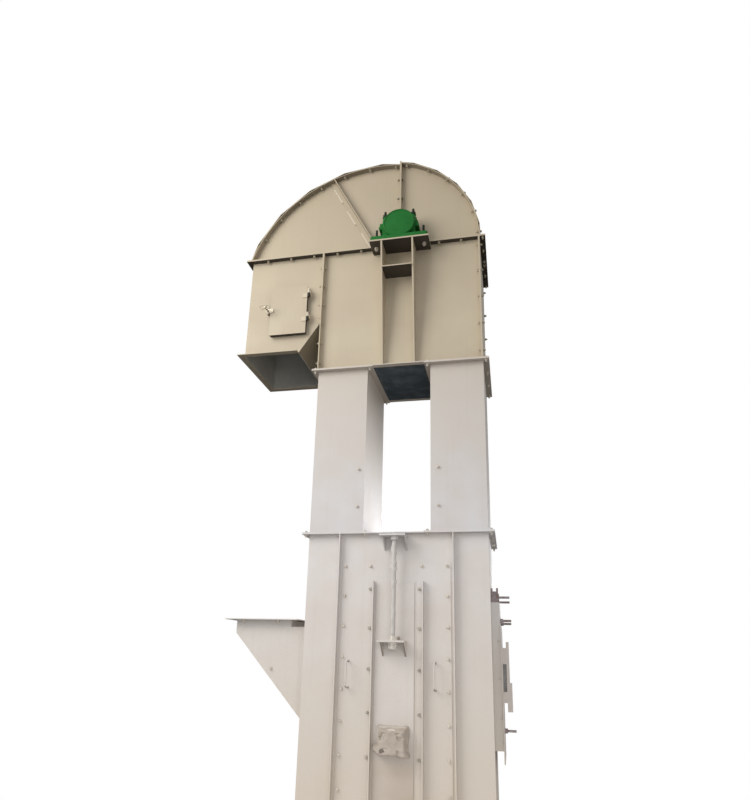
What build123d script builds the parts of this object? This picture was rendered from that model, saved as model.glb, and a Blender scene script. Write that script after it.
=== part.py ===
"""Twin-leg bucket elevator: boot with screw take-up, two legs, head with discharge spout, bolted hood.

X runs across the two legs, -Y is the front with the inspection door, Z is up from the ground.
The origin is on the ground, midway between the legs and midway through the casing's depth.
"""

import os
from math import atan2, cos, degrees, pi, radians, sin, sqrt

from build123d import *

# Casing: one width and depth all the way up
casing_width = 1450
casing_depth = 730
leg_width = 450
sheet = 6
flange_width = 50
flange_thick = 8
seam = 0.3

# Levels of the bolted joints above the ground
boot_top = 2535
head_bottom = 4005
head_top = 5215

# Discharge box on the left of the head
box_width = 725
mouth_level = 4215
mouth_width = 522
spout_lip_width = 55
chute_top = 4518

# Hood: two arcs that meet at a bolted joint over the shaft
hood_left_peak = 6115
hood_right_peak = 6140
hood_left_centre_x = -210
hood_cover_sheet = 5
hood_rim_thick = 6
hood_folds = 5
joint_flange_rise = 15
hood_rib_leg = 50
hood_rib_thick = 6
hood_rib_tip_x = -667
hood_rib_shelf_gap = 12

# Bearing pedestal on the head, front and back
pedestal_rib_gap = 280
pedestal_rib_thick = 14
pedestal_top_reach = 155
shelf_width = 540
shelf_thick = 16
cross_plate_drop = 315
cross_plate_thick = 12

# Head bearing: split block with a blind end cover
bearing_centre_height = 105
bearing_length = 524
bearing_base_depth = 194
bearing_base_height = 28
bearing_base_corner = 20
bearing_cover_radius = 142
bearing_body_radius = 130
bearing_body_depth = 130
bearing_cover_depth = 34
bearing_foot_half_width = 160
bearing_joint_half_width = 176
bearing_joint_span = (-32, 22)
bearing_cap_bolt_x = 129
bearing_cap_bolt_y = 38
bearing_boss_radius = 22
bearing_boss_top = 100
bearing_cap_bolt_radius = 11
bearing_cap_bolt_top = 133
shaft_radius = 65
shaft_seal_gap = 6
drive_end_radius = 60
drive_end_length = 210

# Base and boot
base_flange_width = 75
base_flange_thick = 12
anchor_hole_radius = 13
anchor_inset = 60
boot_floor_level = 240
boot_rib_offset = 454
boot_rib_thick = 8
tail_opening_half_width = 380
tail_opening_bottom = 260
tail_opening_top = 2220
cover_sheet = 5
cover_half_width = 430
cover_below_bracket = 94
cover_bottom = 180
slot_half_width = 100
slot_margin = 80

# Slide guides: angles bolted to the covers
guide_leg = 50
guide_thick = 8
guide_top = 2153
guide_bottom = 200
left_guide_x = -165
right_guide_x = 222

# Take-up: slide plate, screw, brackets, flange bearing
tail_level = 1008
take_up_travel = 200
slide_half_width = 150
slide_thick = 8
slide_top = 2140
slide_bottom = 560
slide_gap = 0.5
screw_radius = 16
screw_reach = 78
screw_gap = 0.5
screw_collar_radius = 19
screw_collar_height = 33
top_bracket_level = 2505
bottom_bracket_level = 1704
bracket_left_reach = 112
bracket_right_reach = 93
bracket_thick = 14
bracket_depth = 110
gusset_height = 100
gusset_thick = 10
gusset_spacing = 174
gusset_setback = 20
screw_head = 15
screw_tail = 12
nut_bore_cut = 1
nut_across = 56
nut_height = 30
tail_bearing_width = 220
tail_bearing_height = 192
tail_bearing_corner = 24
tail_bearing_round = 12
tail_bearing_thick = 34
tail_bearing_boss_radius = 84
tail_bearing_boss_reach = 52
tail_bearing_cap = 14
tail_shaft_radius = 50

# Belt, pulleys and buckets
belt_line_radius = 400
belt_thick = 8
belt_width = 600
pulley_gap = 0.3
pulley_rim = 14
pulley_disc = 12
pulley_overhang = 40
pulley_disc_inset = 60
shaft_end_gap = 2
bearing_bore_gap = 0.05
bucket_count = 25
bucket_projection = 215
bucket_height = 250
bucket_lip_height = 120
bucket_nose_share = 0.45
bucket_wall = 5
bucket_width = 560
bucket_gap = 0.3

# Inlet hopper on the left of the boot
hopper_half_depth = 250
hopper_outer_x = -1350
hopper_neck_inner_x = -875
hopper_flange_level = 1850
hopper_roof_level = 1800
hopper_lip_level = 1747
hopper_foot_level = 1071
hopper_flange_overhang = 75
hopper_hole_radius = 9
hopper_plate = 6
hopper_sill = 20
wall_flange_width = 40

# Inspection hatch on the right of the boot
hatch_width = 480
hatch_bottom = 957
hatch_top = 2007
hatch_proud = 62
hatch_bar = 40
hatch_cover_thick = 8
hatch_cover_margin = 12
hatch_stud_radius = 9
hatch_stud_length = 85
hatch_cover_bottom = 870
hatch_cover_top = 1835
hatch_lug_height = 108
hatch_lug_ears = 25
hatch_lug_depth = 55
hatch_stud_levels = (2045, 1870)
hatch_foot_stud_level = 1093
handle_block_proud = 28
handle_block_spans = ((1555, 1675), (1270, 1350))
handle_block_width = 60
handle_bar_width = 44
handle_bar_span = (1205, 1720)
handle_bar_thick = 22
handle_strap_width = 30
handle_strap_span = (1205, 1415)
handle_strap_thick = 16

# Head inspection door on the front of the discharge box
door_left_x = -1214
door_right_x = -862
door_bottom = 4385
door_top = 4875
door_opening_margin = 28
door_collar_proud = 42
door_collar_thick = 5
door_sheet = 6
door_gap = 0.5
hinge_pin_x = -846
hinge_radius = 11
hinge_height = 84
hinge_levels = (4790, 4545)
hinge_half_gap = 0.5
hinge_bore_gap = 0.2
hinge_lug_thick = 10
hinge_strap_reach = 40
latch_x = -1238
latch_level = 4640
latch_screw_radius = 7
latch_screw_gap = 3
latch_block_side = 36
latch_block_proud = 30
latch_point_gap = 14
latch_reach = 132
latch_tab_height = 40
latch_tab_lap = 30
latch_hub_radius = 13
latch_hub_length = 22
latch_ring_radius = 25
latch_ring_hole = 15
latch_ring_thick = 10

# Side handles on the access covers
handle_rod_radius = 6
handle_bend = 20
handle_height = 190
handle_proud = 72
handle_places = (-357, 309)
handle_level = 1458

# Worked-out places
half_width = casing_width / 2
half_depth = casing_depth / 2
inner_half_depth = half_depth - sheet
flange_half_width = half_width + flange_width
flange_half_depth = half_depth + flange_width
leg_inner_x = half_width - leg_width
box_left_x = -half_width - box_width
mouth_inner_x = box_left_x + mouth_width
hood_right_centre_z = head_top
shelf_top = head_top + shelf_thick
shaft_level = shelf_top + bearing_centre_height
cover_face = half_depth + cover_sheet
slide_back = cover_face + slide_gap
slide_face = slide_back + slide_thick
screw_y = slide_face + screw_reach
slot_top = tail_level + take_up_travel + slot_margin
slot_bottom = tail_level - slot_margin
cover_top = top_bracket_level - bracket_thick - gusset_height - cover_below_bracket


def slab(x, y, z):
    """A plate or bar between low and high values along each axis."""
    size = [span[1] - span[0] for span in (x, y, z)]
    middle = [(span[0] + span[1]) / 2 for span in (x, y, z)]
    return Pos(*middle) * Box(*size)


def plate_xz(points, y):
    """A flat plate with its outline given in X and Z, between two values of Y."""
    outline = Plane.XZ * make_face(Polyline(*points, close=True))
    return Pos(0, y[1], 0) * extrude(outline, y[1] - y[0])


def both_faces(*shapes):
    """The shapes, made for the front, with their mirror images at the back."""
    return [*shapes, *[mirror(shape, Plane.XZ) for shape in shapes]]


def both_legs(*shapes):
    """The shapes, made for the left leg, with their mirror images on the right."""
    return [*shapes, *[mirror(shape, Plane.YZ) for shape in shapes]]


def flange_ring(x, y, z, width):
    """Four flat bars round the outside of a duct whose outer faces are at x and y."""
    outer_x = (x[0] - width, x[1] + width)
    return [
        slab(outer_x, (y[0] - width, y[0]), z),
        slab(outer_x, (y[1], y[1] + width), z),
        slab((outer_x[0], x[0]), (y[0] + seam, y[1] - seam), z),
        slab((x[1], outer_x[1]), (y[0] + seam, y[1] - seam), z),
    ]


def save(node, *pieces):
    """Write the pieces of one node to its STEP file."""
    solids = [solid for piece in pieces for solid in piece.solids()]
    shape = solids[0] if len(solids) == 1 else Compound(solids)
    export_step(shape, f"parts/{node}.step")


front_sheet = (-half_depth, -inner_half_depth)
side_span = (-inner_half_depth + seam, inner_half_depth - seam)
flange_reach = (-flange_half_depth, -half_depth)

os.makedirs("parts", exist_ok=True)


# Base flange with four anchor holes, and the boot floor
def base_flange():
    bars = flange_ring(
        (-half_width, half_width), (-half_depth, half_depth), (0, base_flange_thick), base_flange_width
    )
    anchor_y = half_depth + base_flange_width / 2
    holes = [
        Pos(side * (half_width - anchor_inset), face * anchor_y, base_flange_thick / 2)
        * Cylinder(anchor_hole_radius, 2 * base_flange_thick)
        for side in (-1, 1)
        for face in (-1, 1)
    ]
    return [bars[0] - holes, bars[1] - holes, bars[2], bars[3]]


save("base_flange", *base_flange())
save(
    "boot_floor",
    slab(
        (-half_width + sheet + seam, half_width - sheet - seam),
        side_span,
        (boot_floor_level, boot_floor_level + sheet),
    ),
)


# Boot walls, split beside their openings
def boot_face_walls():
    side = (tail_opening_half_width + seam, half_width)
    middle = (-tail_opening_half_width, tail_opening_half_width)
    return both_faces(
        slab((-side[1], -side[0]), front_sheet, (0, boot_top)),
        slab(side, front_sheet, (0, boot_top)),
        slab(middle, front_sheet, (0, tail_opening_bottom)),
        slab(middle, front_sheet, (tail_opening_top, boot_top)),
    )


save("boot_face_walls", *boot_face_walls())


def side_wall(x, opening_half, opening_z):
    """A side wall of the boot with one window in it."""
    return [
        slab(x, (side_span[0], -opening_half - seam), (0, boot_top)),
        slab(x, (opening_half + seam, side_span[1]), (0, boot_top)),
        slab(x, (-opening_half, opening_half), (0, opening_z[0])),
        slab(x, (-opening_half, opening_half), (opening_z[1], boot_top)),
    ]


save(
    "boot_side_walls",
    *side_wall(
        (-half_width, -half_width + sheet),
        hopper_half_depth - hopper_plate - seam,
        (hopper_foot_level + hopper_sill, hopper_roof_level - hopper_plate),
    ),
    *side_wall(
        (half_width - sheet, half_width),
        hatch_width / 2 - hatch_bar,
        (hatch_bottom + hatch_bar, hatch_top - hatch_bar),
    ),
)

# Flanges round the whole casing where the legs begin and end, and the plates between the legs
casing_x = (-half_width, half_width)
casing_y = (-half_depth, half_depth)
save(
    "casing_flanges",
    *flange_ring(casing_x, casing_y, (boot_top - flange_thick, boot_top), flange_width),
    *flange_ring(casing_x, casing_y, (head_bottom, head_bottom + flange_thick), flange_width),
)
save(
    "leg_gap_plates",
    slab((-leg_inner_x, leg_inner_x), side_span, (boot_top - sheet, boot_top)),
    slab((-leg_inner_x, leg_inner_x), side_span, (head_bottom, head_bottom + sheet)),
)

# Outer stiffeners of the boot, from the base flange to the top flange
save(
    "boot_ribs",
    *both_faces(
        *both_legs(
            slab(
                (-boot_rib_offset - boot_rib_thick / 2, -boot_rib_offset + boot_rib_thick / 2),
                flange_reach,
                (base_flange_thick, boot_top - flange_thick),
            )
        )
    ),
)


# Access covers bolted over the tail opening, with a slot for the tail shaft between them
def access_covers():
    y = (-cover_face, -half_depth)
    side = ((-cover_half_width, -slot_half_width), y, (cover_bottom, cover_top))
    middle = (-slot_half_width + seam, slot_half_width - seam)
    return [
        *both_legs(slab(*side)),
        slab(middle, y, (slot_top, cover_top)),
        slab(middle, y, (cover_bottom, slot_bottom)),
    ]


save("access_covers", *both_faces(*access_covers()))


def cover_handle(x):
    """A bent rod that stands straight out from the cover."""
    grip_y = -cover_face - handle_proud
    low = handle_level - handle_height / 2
    high = handle_level + handle_height / 2
    path = FilletPolyline(
        (x, -cover_face, high), (x, grip_y, high), (x, grip_y, low), (x, -cover_face, low),
        radius=handle_bend,
    )
    return sweep((path ^ 0) * Circle(handle_rod_radius), path=path)


save("cover_handles", *both_faces(*[cover_handle(x) for x in handle_places]))


# Slide guides: angles whose standing leg is on their right
def slide_guide(x):
    flat_left = x - guide_leg
    profile = Polyline(
        (flat_left, -cover_face), (x, -cover_face), (x, -cover_face - guide_leg),
        (x - guide_thick, -cover_face - guide_leg), (x - guide_thick, -cover_face - guide_thick),
        (flat_left, -cover_face - guide_thick),
        close=True,
    )
    return Pos(0, 0, guide_bottom) * extrude(make_face(profile), guide_top - guide_bottom, dir=(0, 0, 1))


save("slide_guides", *both_faces(slide_guide(left_guide_x), slide_guide(right_guide_x)))


# Brackets of the take-up screw: a plate on two gussets, with a hole for the screw
def bracket(level, back_y):
    front_y = -screw_y - bracket_depth / 2
    foot = level - bracket_thick
    plate = slab((-bracket_left_reach, bracket_right_reach), (front_y, back_y), (foot, level))
    outline = [(front_y + gusset_setback, foot), (back_y, foot), (back_y, foot - gusset_height)]
    face = Plane.YZ * make_face(Polyline(*outline, close=True))
    for side in (-1, 1):
        plate += Pos((side * gusset_spacing - gusset_thick) / 2, 0, 0) * extrude(face, gusset_thick)
    hole = Pos(0, -screw_y, level - bracket_thick / 2) * Cylinder(screw_radius + screw_gap, 2 * bracket_thick)
    return plate - hole


def hex_nut(level, bore):
    """A hexagon nut on the screw's axis, with its top face at a level."""
    across = RegularPolygon(nut_across / 2, 6, major_radius=False) - Circle(bore)
    return Pos(0, -screw_y, level - nut_height) * extrude(across, nut_height)


top_nut = hex_nut(top_bracket_level - bracket_thick, screw_radius + screw_gap)
save("take_up_top_brackets", *both_faces(bracket(top_bracket_level, -half_depth) + top_nut))


# Take-up that slides on the boot: plates, brackets, screws, bearings, shaft and pulley
tail_hole_radius = tail_shaft_radius + shaft_seal_gap
tail_shaft_hole = Pos(0, 0, tail_level) * Rot(90, 0, 0) * Cylinder(tail_hole_radius, 2 * casing_depth)
slide_plate = slab(
    (-slide_half_width, slide_half_width), (-slide_face, -slide_back), (slide_bottom, slide_top)
)
save("slide_plates", *both_faces(slide_plate - tail_shaft_hole))
save("take_up_brackets", *both_faces(bracket(bottom_bracket_level, -slide_face)))
screw_foot = bottom_bracket_level - bracket_thick - nut_height - screw_tail


def take_up_screw():
    """The screw, with a collar above the moving bracket and a nut below it."""
    length = top_bracket_level + screw_head - screw_foot
    rod = Pos(0, -screw_y, screw_foot + length / 2) * Cylinder(screw_radius, length)
    collar = Pos(0, -screw_y, bottom_bracket_level + screw_collar_height / 2) * Cylinder(
        screw_collar_radius, screw_collar_height
    )
    nut = hex_nut(bottom_bracket_level - bracket_thick, screw_radius - nut_bore_cut)
    return rod + collar + nut


save("take_up_screws", *both_faces(take_up_screw()))


def tail_bearing():
    """An oblong flange bearing with a round boss, closed by a cap over the shaft's end."""
    outline = RectangleRounded(tail_bearing_width, tail_bearing_height, tail_bearing_corner)
    flange = extrude(outline, tail_bearing_thick)
    boss = Cylinder(
        tail_bearing_boss_radius, tail_bearing_boss_reach, align=(Align.CENTER, Align.CENTER, Align.MIN)
    )
    body = flange + Pos(0, 0, tail_bearing_thick) * boss
    body = fillet(body.faces().sort_by(Axis.Z)[-1].edges(), tail_bearing_round)
    bore = Cylinder(
        tail_shaft_radius + bearing_bore_gap, tail_bearing_thick + tail_bearing_boss_reach - tail_bearing_cap,
        align=(Align.CENTER, Align.CENTER, Align.MIN),
    )
    return Pos(0, -slide_face, tail_level) * Rot(90, 0, 0) * (body - bore)


save("tail_bearings", *both_faces(tail_bearing()))


def round_bar(radius, y):
    """A round bar along Y between two values of Y, on the axis of its pulley."""
    return Pos(0, 0, -(y[0] + y[1]) / 2) * Cylinder(radius, y[1] - y[0])


def pulley(level, shaft, shaft_y):
    """A welded drum on its shaft: a rim carried by two end discs."""
    outer = belt_line_radius - belt_thick / 2 - pulley_gap
    width = belt_width + pulley_overhang
    drum = Cylinder(outer, width) - Cylinder(outer - pulley_rim, width)
    for side in (-1, 1):
        drum += Pos(0, 0, side * (width / 2 - pulley_disc_inset)) * Cylinder(outer - pulley_rim, pulley_disc)
    return Pos(0, 0, level) * Rot(90, 0, 0) * (drum + round_bar(shaft, shaft_y))


tail_shaft_end = slide_face + tail_bearing_thick + tail_bearing_boss_reach - tail_bearing_cap - shaft_end_gap
save("tail_pulley", pulley(tail_level, tail_shaft_radius, (-tail_shaft_end, tail_shaft_end)))


# One endless belt, and the buckets bolted along it
def belt():
    outline = Plane.XZ * (
        SlotCenterToCenter(shaft_level - tail_level, 2 * belt_line_radius + belt_thick)
        - SlotCenterToCenter(shaft_level - tail_level, 2 * belt_line_radius - belt_thick)
    )
    upright = Rot(0, 90, 0) * extrude(outline, belt_width / 2, both=True)
    return Pos(0, 0, (shaft_level + tail_level) / 2) * upright


save("belt", belt())


def bucket():
    """One pressed bucket at the origin: its back on X = 0, its mouth up, its nose towards +X."""
    lip_foot = bucket_height - bucket_lip_height
    nose_x = bucket_projection * bucket_nose_share
    back = [(0, 0), (0, bucket_height), (bucket_projection, bucket_height)]
    nose = [(bucket_projection, lip_foot), (nose_x, 0)]
    outside = Plane.XZ * make_face(Polyline(*back, *nose, close=True))
    w = bucket_wall
    hollow = [
        (w, 2 * w), (w, bucket_height + w), (bucket_projection - w, bucket_height + w),
        (bucket_projection - w, lip_foot + w), (nose_x, w),
    ]
    inside = Plane.XZ * make_face(Polyline(*hollow, close=True))
    return extrude(outside, bucket_width / 2, both=True) - extrude(inside, bucket_width / 2 - w, both=True)


def bucket_places():
    """Each bucket's location along the loop, from the bottom of the right-hand run upwards."""
    run = shaft_level - tail_level
    turn = pi * belt_line_radius
    pitch = 2 * (run + turn) / bucket_count
    radius = belt_line_radius + belt_thick / 2 + bucket_gap
    for number in range(bucket_count):
        along = (number + 0.5) * pitch
        if along < run:
            yield Pos(radius, 0, tail_level + along) * Rot(0, 0, 0)
        elif along < run + turn:
            angle = degrees((along - run) / belt_line_radius)
            yield Pos(0, 0, shaft_level) * Rot(0, -angle, 0) * Pos(radius, 0, 0)
        elif along < 2 * run + turn:
            yield Pos(-radius, 0, shaft_level - (along - run - turn)) * Rot(0, 180, 0)
        else:
            angle = degrees((along - 2 * run - turn) / belt_line_radius)
            yield Pos(0, 0, tail_level) * Rot(0, 180 - angle, 0) * Pos(radius, 0, 0)


one_bucket = bucket()
save("buckets", *[place * Pos(0, 0, -bucket_height / 2) * one_bucket for place in bucket_places()])


# Inlet hopper: two side plates, sloping floor, outer plate, roof strip and flange
def inlet_hopper():
    wall_x = -half_width
    slope = (hopper_lip_level - hopper_foot_level) / (wall_x - hopper_outer_x)
    drop = hopper_plate * sqrt(1 + slope**2)
    side = plate_xz(
        [
            (wall_x, hopper_foot_level), (wall_x, hopper_roof_level),
            (hopper_neck_inner_x, hopper_roof_level),
            (hopper_neck_inner_x, hopper_flange_level), (hopper_outer_x, hopper_flange_level),
            (hopper_outer_x, hopper_lip_level),
        ],
        (-hopper_half_depth, -hopper_half_depth + hopper_plate),
    )
    inner = (-hopper_half_depth + hopper_plate + seam, hopper_half_depth - hopper_plate - seam)
    floor = plate_xz(
        [
            (hopper_outer_x, hopper_lip_level), (wall_x, hopper_foot_level),
            (wall_x, hopper_foot_level + drop), (hopper_outer_x, hopper_lip_level + drop),
        ],
        inner,
    )
    outer = slab(
        (hopper_outer_x, hopper_outer_x + hopper_plate), inner,
        (hopper_lip_level + drop + seam, hopper_flange_level),
    )
    roof = slab(
        (hopper_neck_inner_x, wall_x), inner, (hopper_roof_level - hopper_plate, hopper_roof_level)
    )
    neck = slab(
        (hopper_neck_inner_x - hopper_plate - seam, hopper_neck_inner_x - seam), inner,
        (hopper_roof_level - hopper_plate, hopper_flange_level),
    )
    return [*both_faces(side), floor, outer, roof, neck]


hopper_wall_flange = slab(
    (-half_width - flange_thick, -half_width),
    (-hopper_half_depth - wall_flange_width, -hopper_half_depth - seam),
    (hopper_foot_level, hopper_roof_level),
)
save("inlet_hopper", *inlet_hopper(), *both_faces(hopper_wall_flange))


def inlet_flange():
    """A flat ring of four drilled bars on the neck of the hopper."""
    bars = flange_ring(
        (hopper_outer_x, hopper_neck_inner_x), (-hopper_half_depth, hopper_half_depth),
        (hopper_flange_level, hopper_flange_level + flange_thick), hopper_flange_overhang,
    )
    spread_x = (hopper_neck_inner_x - hopper_outer_x) / 2 + hopper_flange_overhang / 2
    spread_y = hopper_half_depth + hopper_flange_overhang / 2
    middle_x = (hopper_outer_x + hopper_neck_inner_x) / 2
    hole = Cylinder(hopper_hole_radius, 4 * flange_thick)
    holes = [
        Pos(middle_x + side * spread_x, face * spread_y, hopper_flange_level) * hole
        for side in (-1, 1)
        for face in (-1, 1)
    ]
    return [bars[0] - holes, bars[1] - holes, bars[2], bars[3]]


save("inlet_flange", *inlet_flange())


# Inspection hatch on the right wall: frame with a fixed head plate, and the bolted cover
def hatch_frame():
    x = (half_width, half_width + hatch_proud)
    half = hatch_width / 2
    inner = half - hatch_bar
    return [
        slab(x, (-half, -inner), (hatch_bottom, hatch_top)),
        slab(x, (inner, half), (hatch_bottom, hatch_top)),
        slab(x, (-inner + seam, inner - seam), (hatch_bottom, hatch_bottom + hatch_bar)),
        slab(x, (-inner + seam, inner - seam), (hatch_cover_top - hatch_bar, hatch_top)),
    ]


save("hatch_frame", *hatch_frame())
hatch_face = half_width + hatch_proud
hatch_outer = hatch_face + hatch_cover_thick
hatch_cover_half = hatch_width / 2 + hatch_cover_margin
hatch_cover_y = (-hatch_cover_half, hatch_cover_half)
save("hatch_cover", slab((hatch_face, hatch_outer), hatch_cover_y, (hatch_cover_bottom, hatch_cover_top)))


# Fittings of the hatch: lugs on top of the frame, long studs and a flat grip
def hatch_lug():
    """A block on the frame's corner, with an ear left standing on either side of its top."""
    x = (half_width, half_width + hatch_lug_depth)
    y = (-hatch_width / 2, -hatch_width / 2 + hatch_bar)
    foot = hatch_top + seam
    top = foot + hatch_lug_height
    quarter = hatch_lug_depth / 4
    notch = slab((x[0] + quarter, x[1] - quarter), y, (top - hatch_lug_ears, top))
    return slab(x, y, (foot, top)) - notch


def hatch_stud(root_x, side, level):
    stud = Cylinder(hatch_stud_radius, hatch_stud_length, align=(Align.CENTER, Align.CENTER, Align.MIN))
    return Pos(root_x, side * (hatch_width - hatch_bar) / 2, level) * Rot(0, 90, 0) * stud


def hatch_handle():
    """A flat grip bar that stands off the cover on two blocks, with a short strap over its foot."""
    grip_x = hatch_outer + handle_block_proud
    strap_x = grip_x + handle_bar_thick
    half = handle_bar_width / 2
    handle = slab((grip_x, strap_x), (-half, half), handle_bar_span)
    half = handle_strap_width / 2
    handle += slab((strap_x, strap_x + handle_strap_thick), (-half, half), handle_strap_span)
    half = handle_block_width / 2
    for span in handle_block_spans:
        handle += slab((hatch_outer, grip_x), (-half, half), span)
    return handle


lug_face = half_width + hatch_lug_depth
top_studs = [hatch_lug() + hatch_stud(lug_face, -1, hatch_stud_levels[0])]
frame_studs = [hatch_stud(hatch_face, -1, hatch_stud_levels[1])]
foot_stud = hatch_stud(hatch_outer, -1, hatch_foot_stud_level)
save("hatch_fittings", *both_faces(*top_studs, *frame_studs), foot_stud, hatch_handle())


# Legs: four sheets each, with a flange ring at either end
def leg():
    x = (-half_width, -leg_inner_x)
    z = (boot_top, head_bottom)
    return [
        *both_faces(slab(x, front_sheet, z)),
        slab((x[0], x[0] + sheet), side_span, z),
        slab((x[1] - sheet, x[1]), side_span, z),
    ]


def leg_flanges():
    x = (-half_width, -leg_inner_x)
    y = (-half_depth, half_depth)
    low = flange_ring(x, y, (boot_top, boot_top + flange_thick), flange_width)
    high = flange_ring(x, y, (head_bottom - flange_thick, head_bottom), flange_width)
    return low + high


save("casing_legs", *both_legs(*leg()))
save("leg_flanges", *both_legs(*leg_flanges()))

# Head casing
head_span = (-half_width, half_width - flange_thick)
save("head_face_walls", *both_faces(slab(head_span, front_sheet, (head_bottom, head_top))))
upright = (head_bottom + flange_thick, head_top - flange_thick)
save(
    "head_side_walls",
    slab((half_width - flange_thick, half_width), (-flange_half_depth, flange_half_depth), upright),
    slab((-half_width, -half_width + sheet), side_span, (head_bottom, chute_top)),
)
save(
    "head_joint_flanges",
    *both_faces(
        slab((half_width - 2 * flange_thick, half_width - flange_thick), flange_reach, upright),
        slab((-half_width, -half_width + flange_thick), flange_reach, upright),
        slab((-half_width - flange_thick, -half_width - seam), flange_reach, (chute_top, upright[1])),
    ),
)


# Flange between the head and the hood, left open in front of the bearing shelf
def head_top_flange(z):
    bars = flange_ring((box_left_x, half_width), (-half_depth, half_depth), z, flange_width)
    shelf_gap = shelf_width / 2 + seam
    rows = [
        slab((box_left_x - flange_width, -shelf_gap), flange_reach, z),
        slab((shelf_gap, flange_half_width), flange_reach, z),
    ]
    return both_faces(*rows) + bars[2:]


save("head_top_flange", *head_top_flange((head_top - flange_thick, head_top)))
save("hood_bottom_flange", *head_top_flange((head_top, head_top + flange_thick)))


# Pedestals: two tapered ribs and a cross plate under the bearing shelf
shelf_reach = flange_half_depth + pedestal_top_reach


def pedestal():
    foot = head_bottom + flange_thick
    rib_outline = [
        (-half_depth, foot), (-half_depth, head_top), (-shelf_reach, head_top),
        (-flange_half_depth, foot),
    ]
    face = Plane.YZ * make_face(Polyline(*rib_outline, close=True))
    rib = extrude(face, pedestal_rib_thick / 2, both=True)
    left = Pos(-pedestal_rib_gap / 2, 0, 0) * rib
    right = Pos(pedestal_rib_gap / 2, 0, 0) * rib
    level = head_top - cross_plate_drop
    share = (level - foot) / (head_top - foot)
    reach = flange_half_depth + pedestal_top_reach * share
    inner = pedestal_rib_gap / 2 - pedestal_rib_thick / 2
    cross = slab((-inner, inner), (-reach, -half_depth), (level - cross_plate_thick, level))
    shelf = slab((-shelf_width / 2, shelf_width / 2), (-shelf_reach, -half_depth), (head_top, shelf_top))
    return left + right + cross + shelf


save("bearing_pedestals", *both_faces(pedestal()))
bearing_y = (half_depth + shelf_reach) / 2


def head_bearing(blind):
    """A split plummer block on the front shelf, with its shaft axis along Y."""
    outline = RectangleRounded(bearing_length, bearing_base_depth, bearing_base_corner)
    block = extrude(Plane.XY.offset(shelf_top) * Pos(0, -bearing_y) * outline, bearing_base_height)
    front_y = -bearing_y - bearing_body_depth / 2
    y = (front_y, front_y + bearing_body_depth)
    joint = [shaft_level + rise for rise in bearing_joint_span]
    across = Pos(0, -bearing_y, shaft_level) * Rot(90, 0, 0)
    block += across * Cylinder(bearing_body_radius, bearing_body_depth)
    block += slab((-bearing_foot_half_width, bearing_foot_half_width), y, (shelf_top, joint[0]))
    block += slab((-bearing_joint_half_width, bearing_joint_half_width), y, joint)
    for side in (-1, 1):
        for face in (-1, 1):
            place = Pos(side * bearing_cap_bolt_x, face * bearing_cap_bolt_y - bearing_y, shaft_level)
            for radius, top in (
                (bearing_boss_radius, bearing_boss_top), (bearing_cap_bolt_radius, bearing_cap_bolt_top)
            ):
                block += place * Cylinder(radius, top, align=(Align.CENTER, Align.CENTER, Align.MIN))
    cover = Pos(0, front_y - bearing_cover_depth / 2, shaft_level) * Rot(90, 0, 0) * Cylinder(
        bearing_cover_radius, bearing_cover_depth
    )
    trim = slab((-bearing_length, bearing_length), (-2 * shelf_reach, 0), (0, shelf_top))
    block = block + cover - trim
    bore_back = -bearing_y + bearing_body_depth
    bore_front = front_y - (0 if blind else 2 * bearing_cover_depth)
    bore = Pos(0, (bore_back + bore_front) / 2, shaft_level) * Rot(90, 0, 0) * Cylinder(
        shaft_radius + bearing_bore_gap, bore_back - bore_front
    )
    return block - bore


save("head_bearings", head_bearing(True), mirror(head_bearing(False), Plane.XZ))
bearing_body_reach = bearing_y + bearing_body_depth / 2
shoulder_y = bearing_body_reach + bearing_cover_depth + shaft_end_gap
drive_end = Pos(0, 0, shaft_level) * Rot(90, 0, 0) * round_bar(
    drive_end_radius, (shoulder_y, shoulder_y + drive_end_length)
)
head_shaft_y = (shaft_end_gap - bearing_body_reach, shoulder_y)
save("head_pulley", pulley(shaft_level, shaft_radius, head_shaft_y) + drive_end)


# Hood: plates under two arcs, rims, folded cover sheets and ribs
def arc_through(centre_x, centre_z, start, end):
    """Radius, start angle and end angle, in degrees, of an arc in the XZ plane."""
    radius = sqrt((start[0] - centre_x) ** 2 + (start[1] - centre_z) ** 2)
    first = degrees(atan2(start[1] - centre_z, start[0] - centre_x))
    last = degrees(atan2(end[1] - centre_z, end[0] - centre_x))
    return radius, first % 360, last % 360


def left_arc():
    """The long arc from the discharge box's wall up to the joint."""
    reach = hood_left_centre_x - box_left_x
    rise = hood_left_peak - head_top
    drop = (hood_left_centre_x**2 + rise**2 - reach**2) / (2 * rise)
    centre_z = head_top + drop
    return hood_left_centre_x, centre_z, (box_left_x, head_top), (0, hood_left_peak)


def right_arc():
    """The short arc from the joint down to the right wall, upright where it meets it."""
    rise = hood_right_peak - head_top
    centre_x = (half_width**2 - rise**2) / (2 * half_width)
    return centre_x, hood_right_centre_z, (half_width, head_top), (0, hood_right_peak)


def polar(centre, radius, angle):
    return (centre[0] + radius * cos(radians(angle)), centre[1] + radius * sin(radians(angle)))


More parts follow.
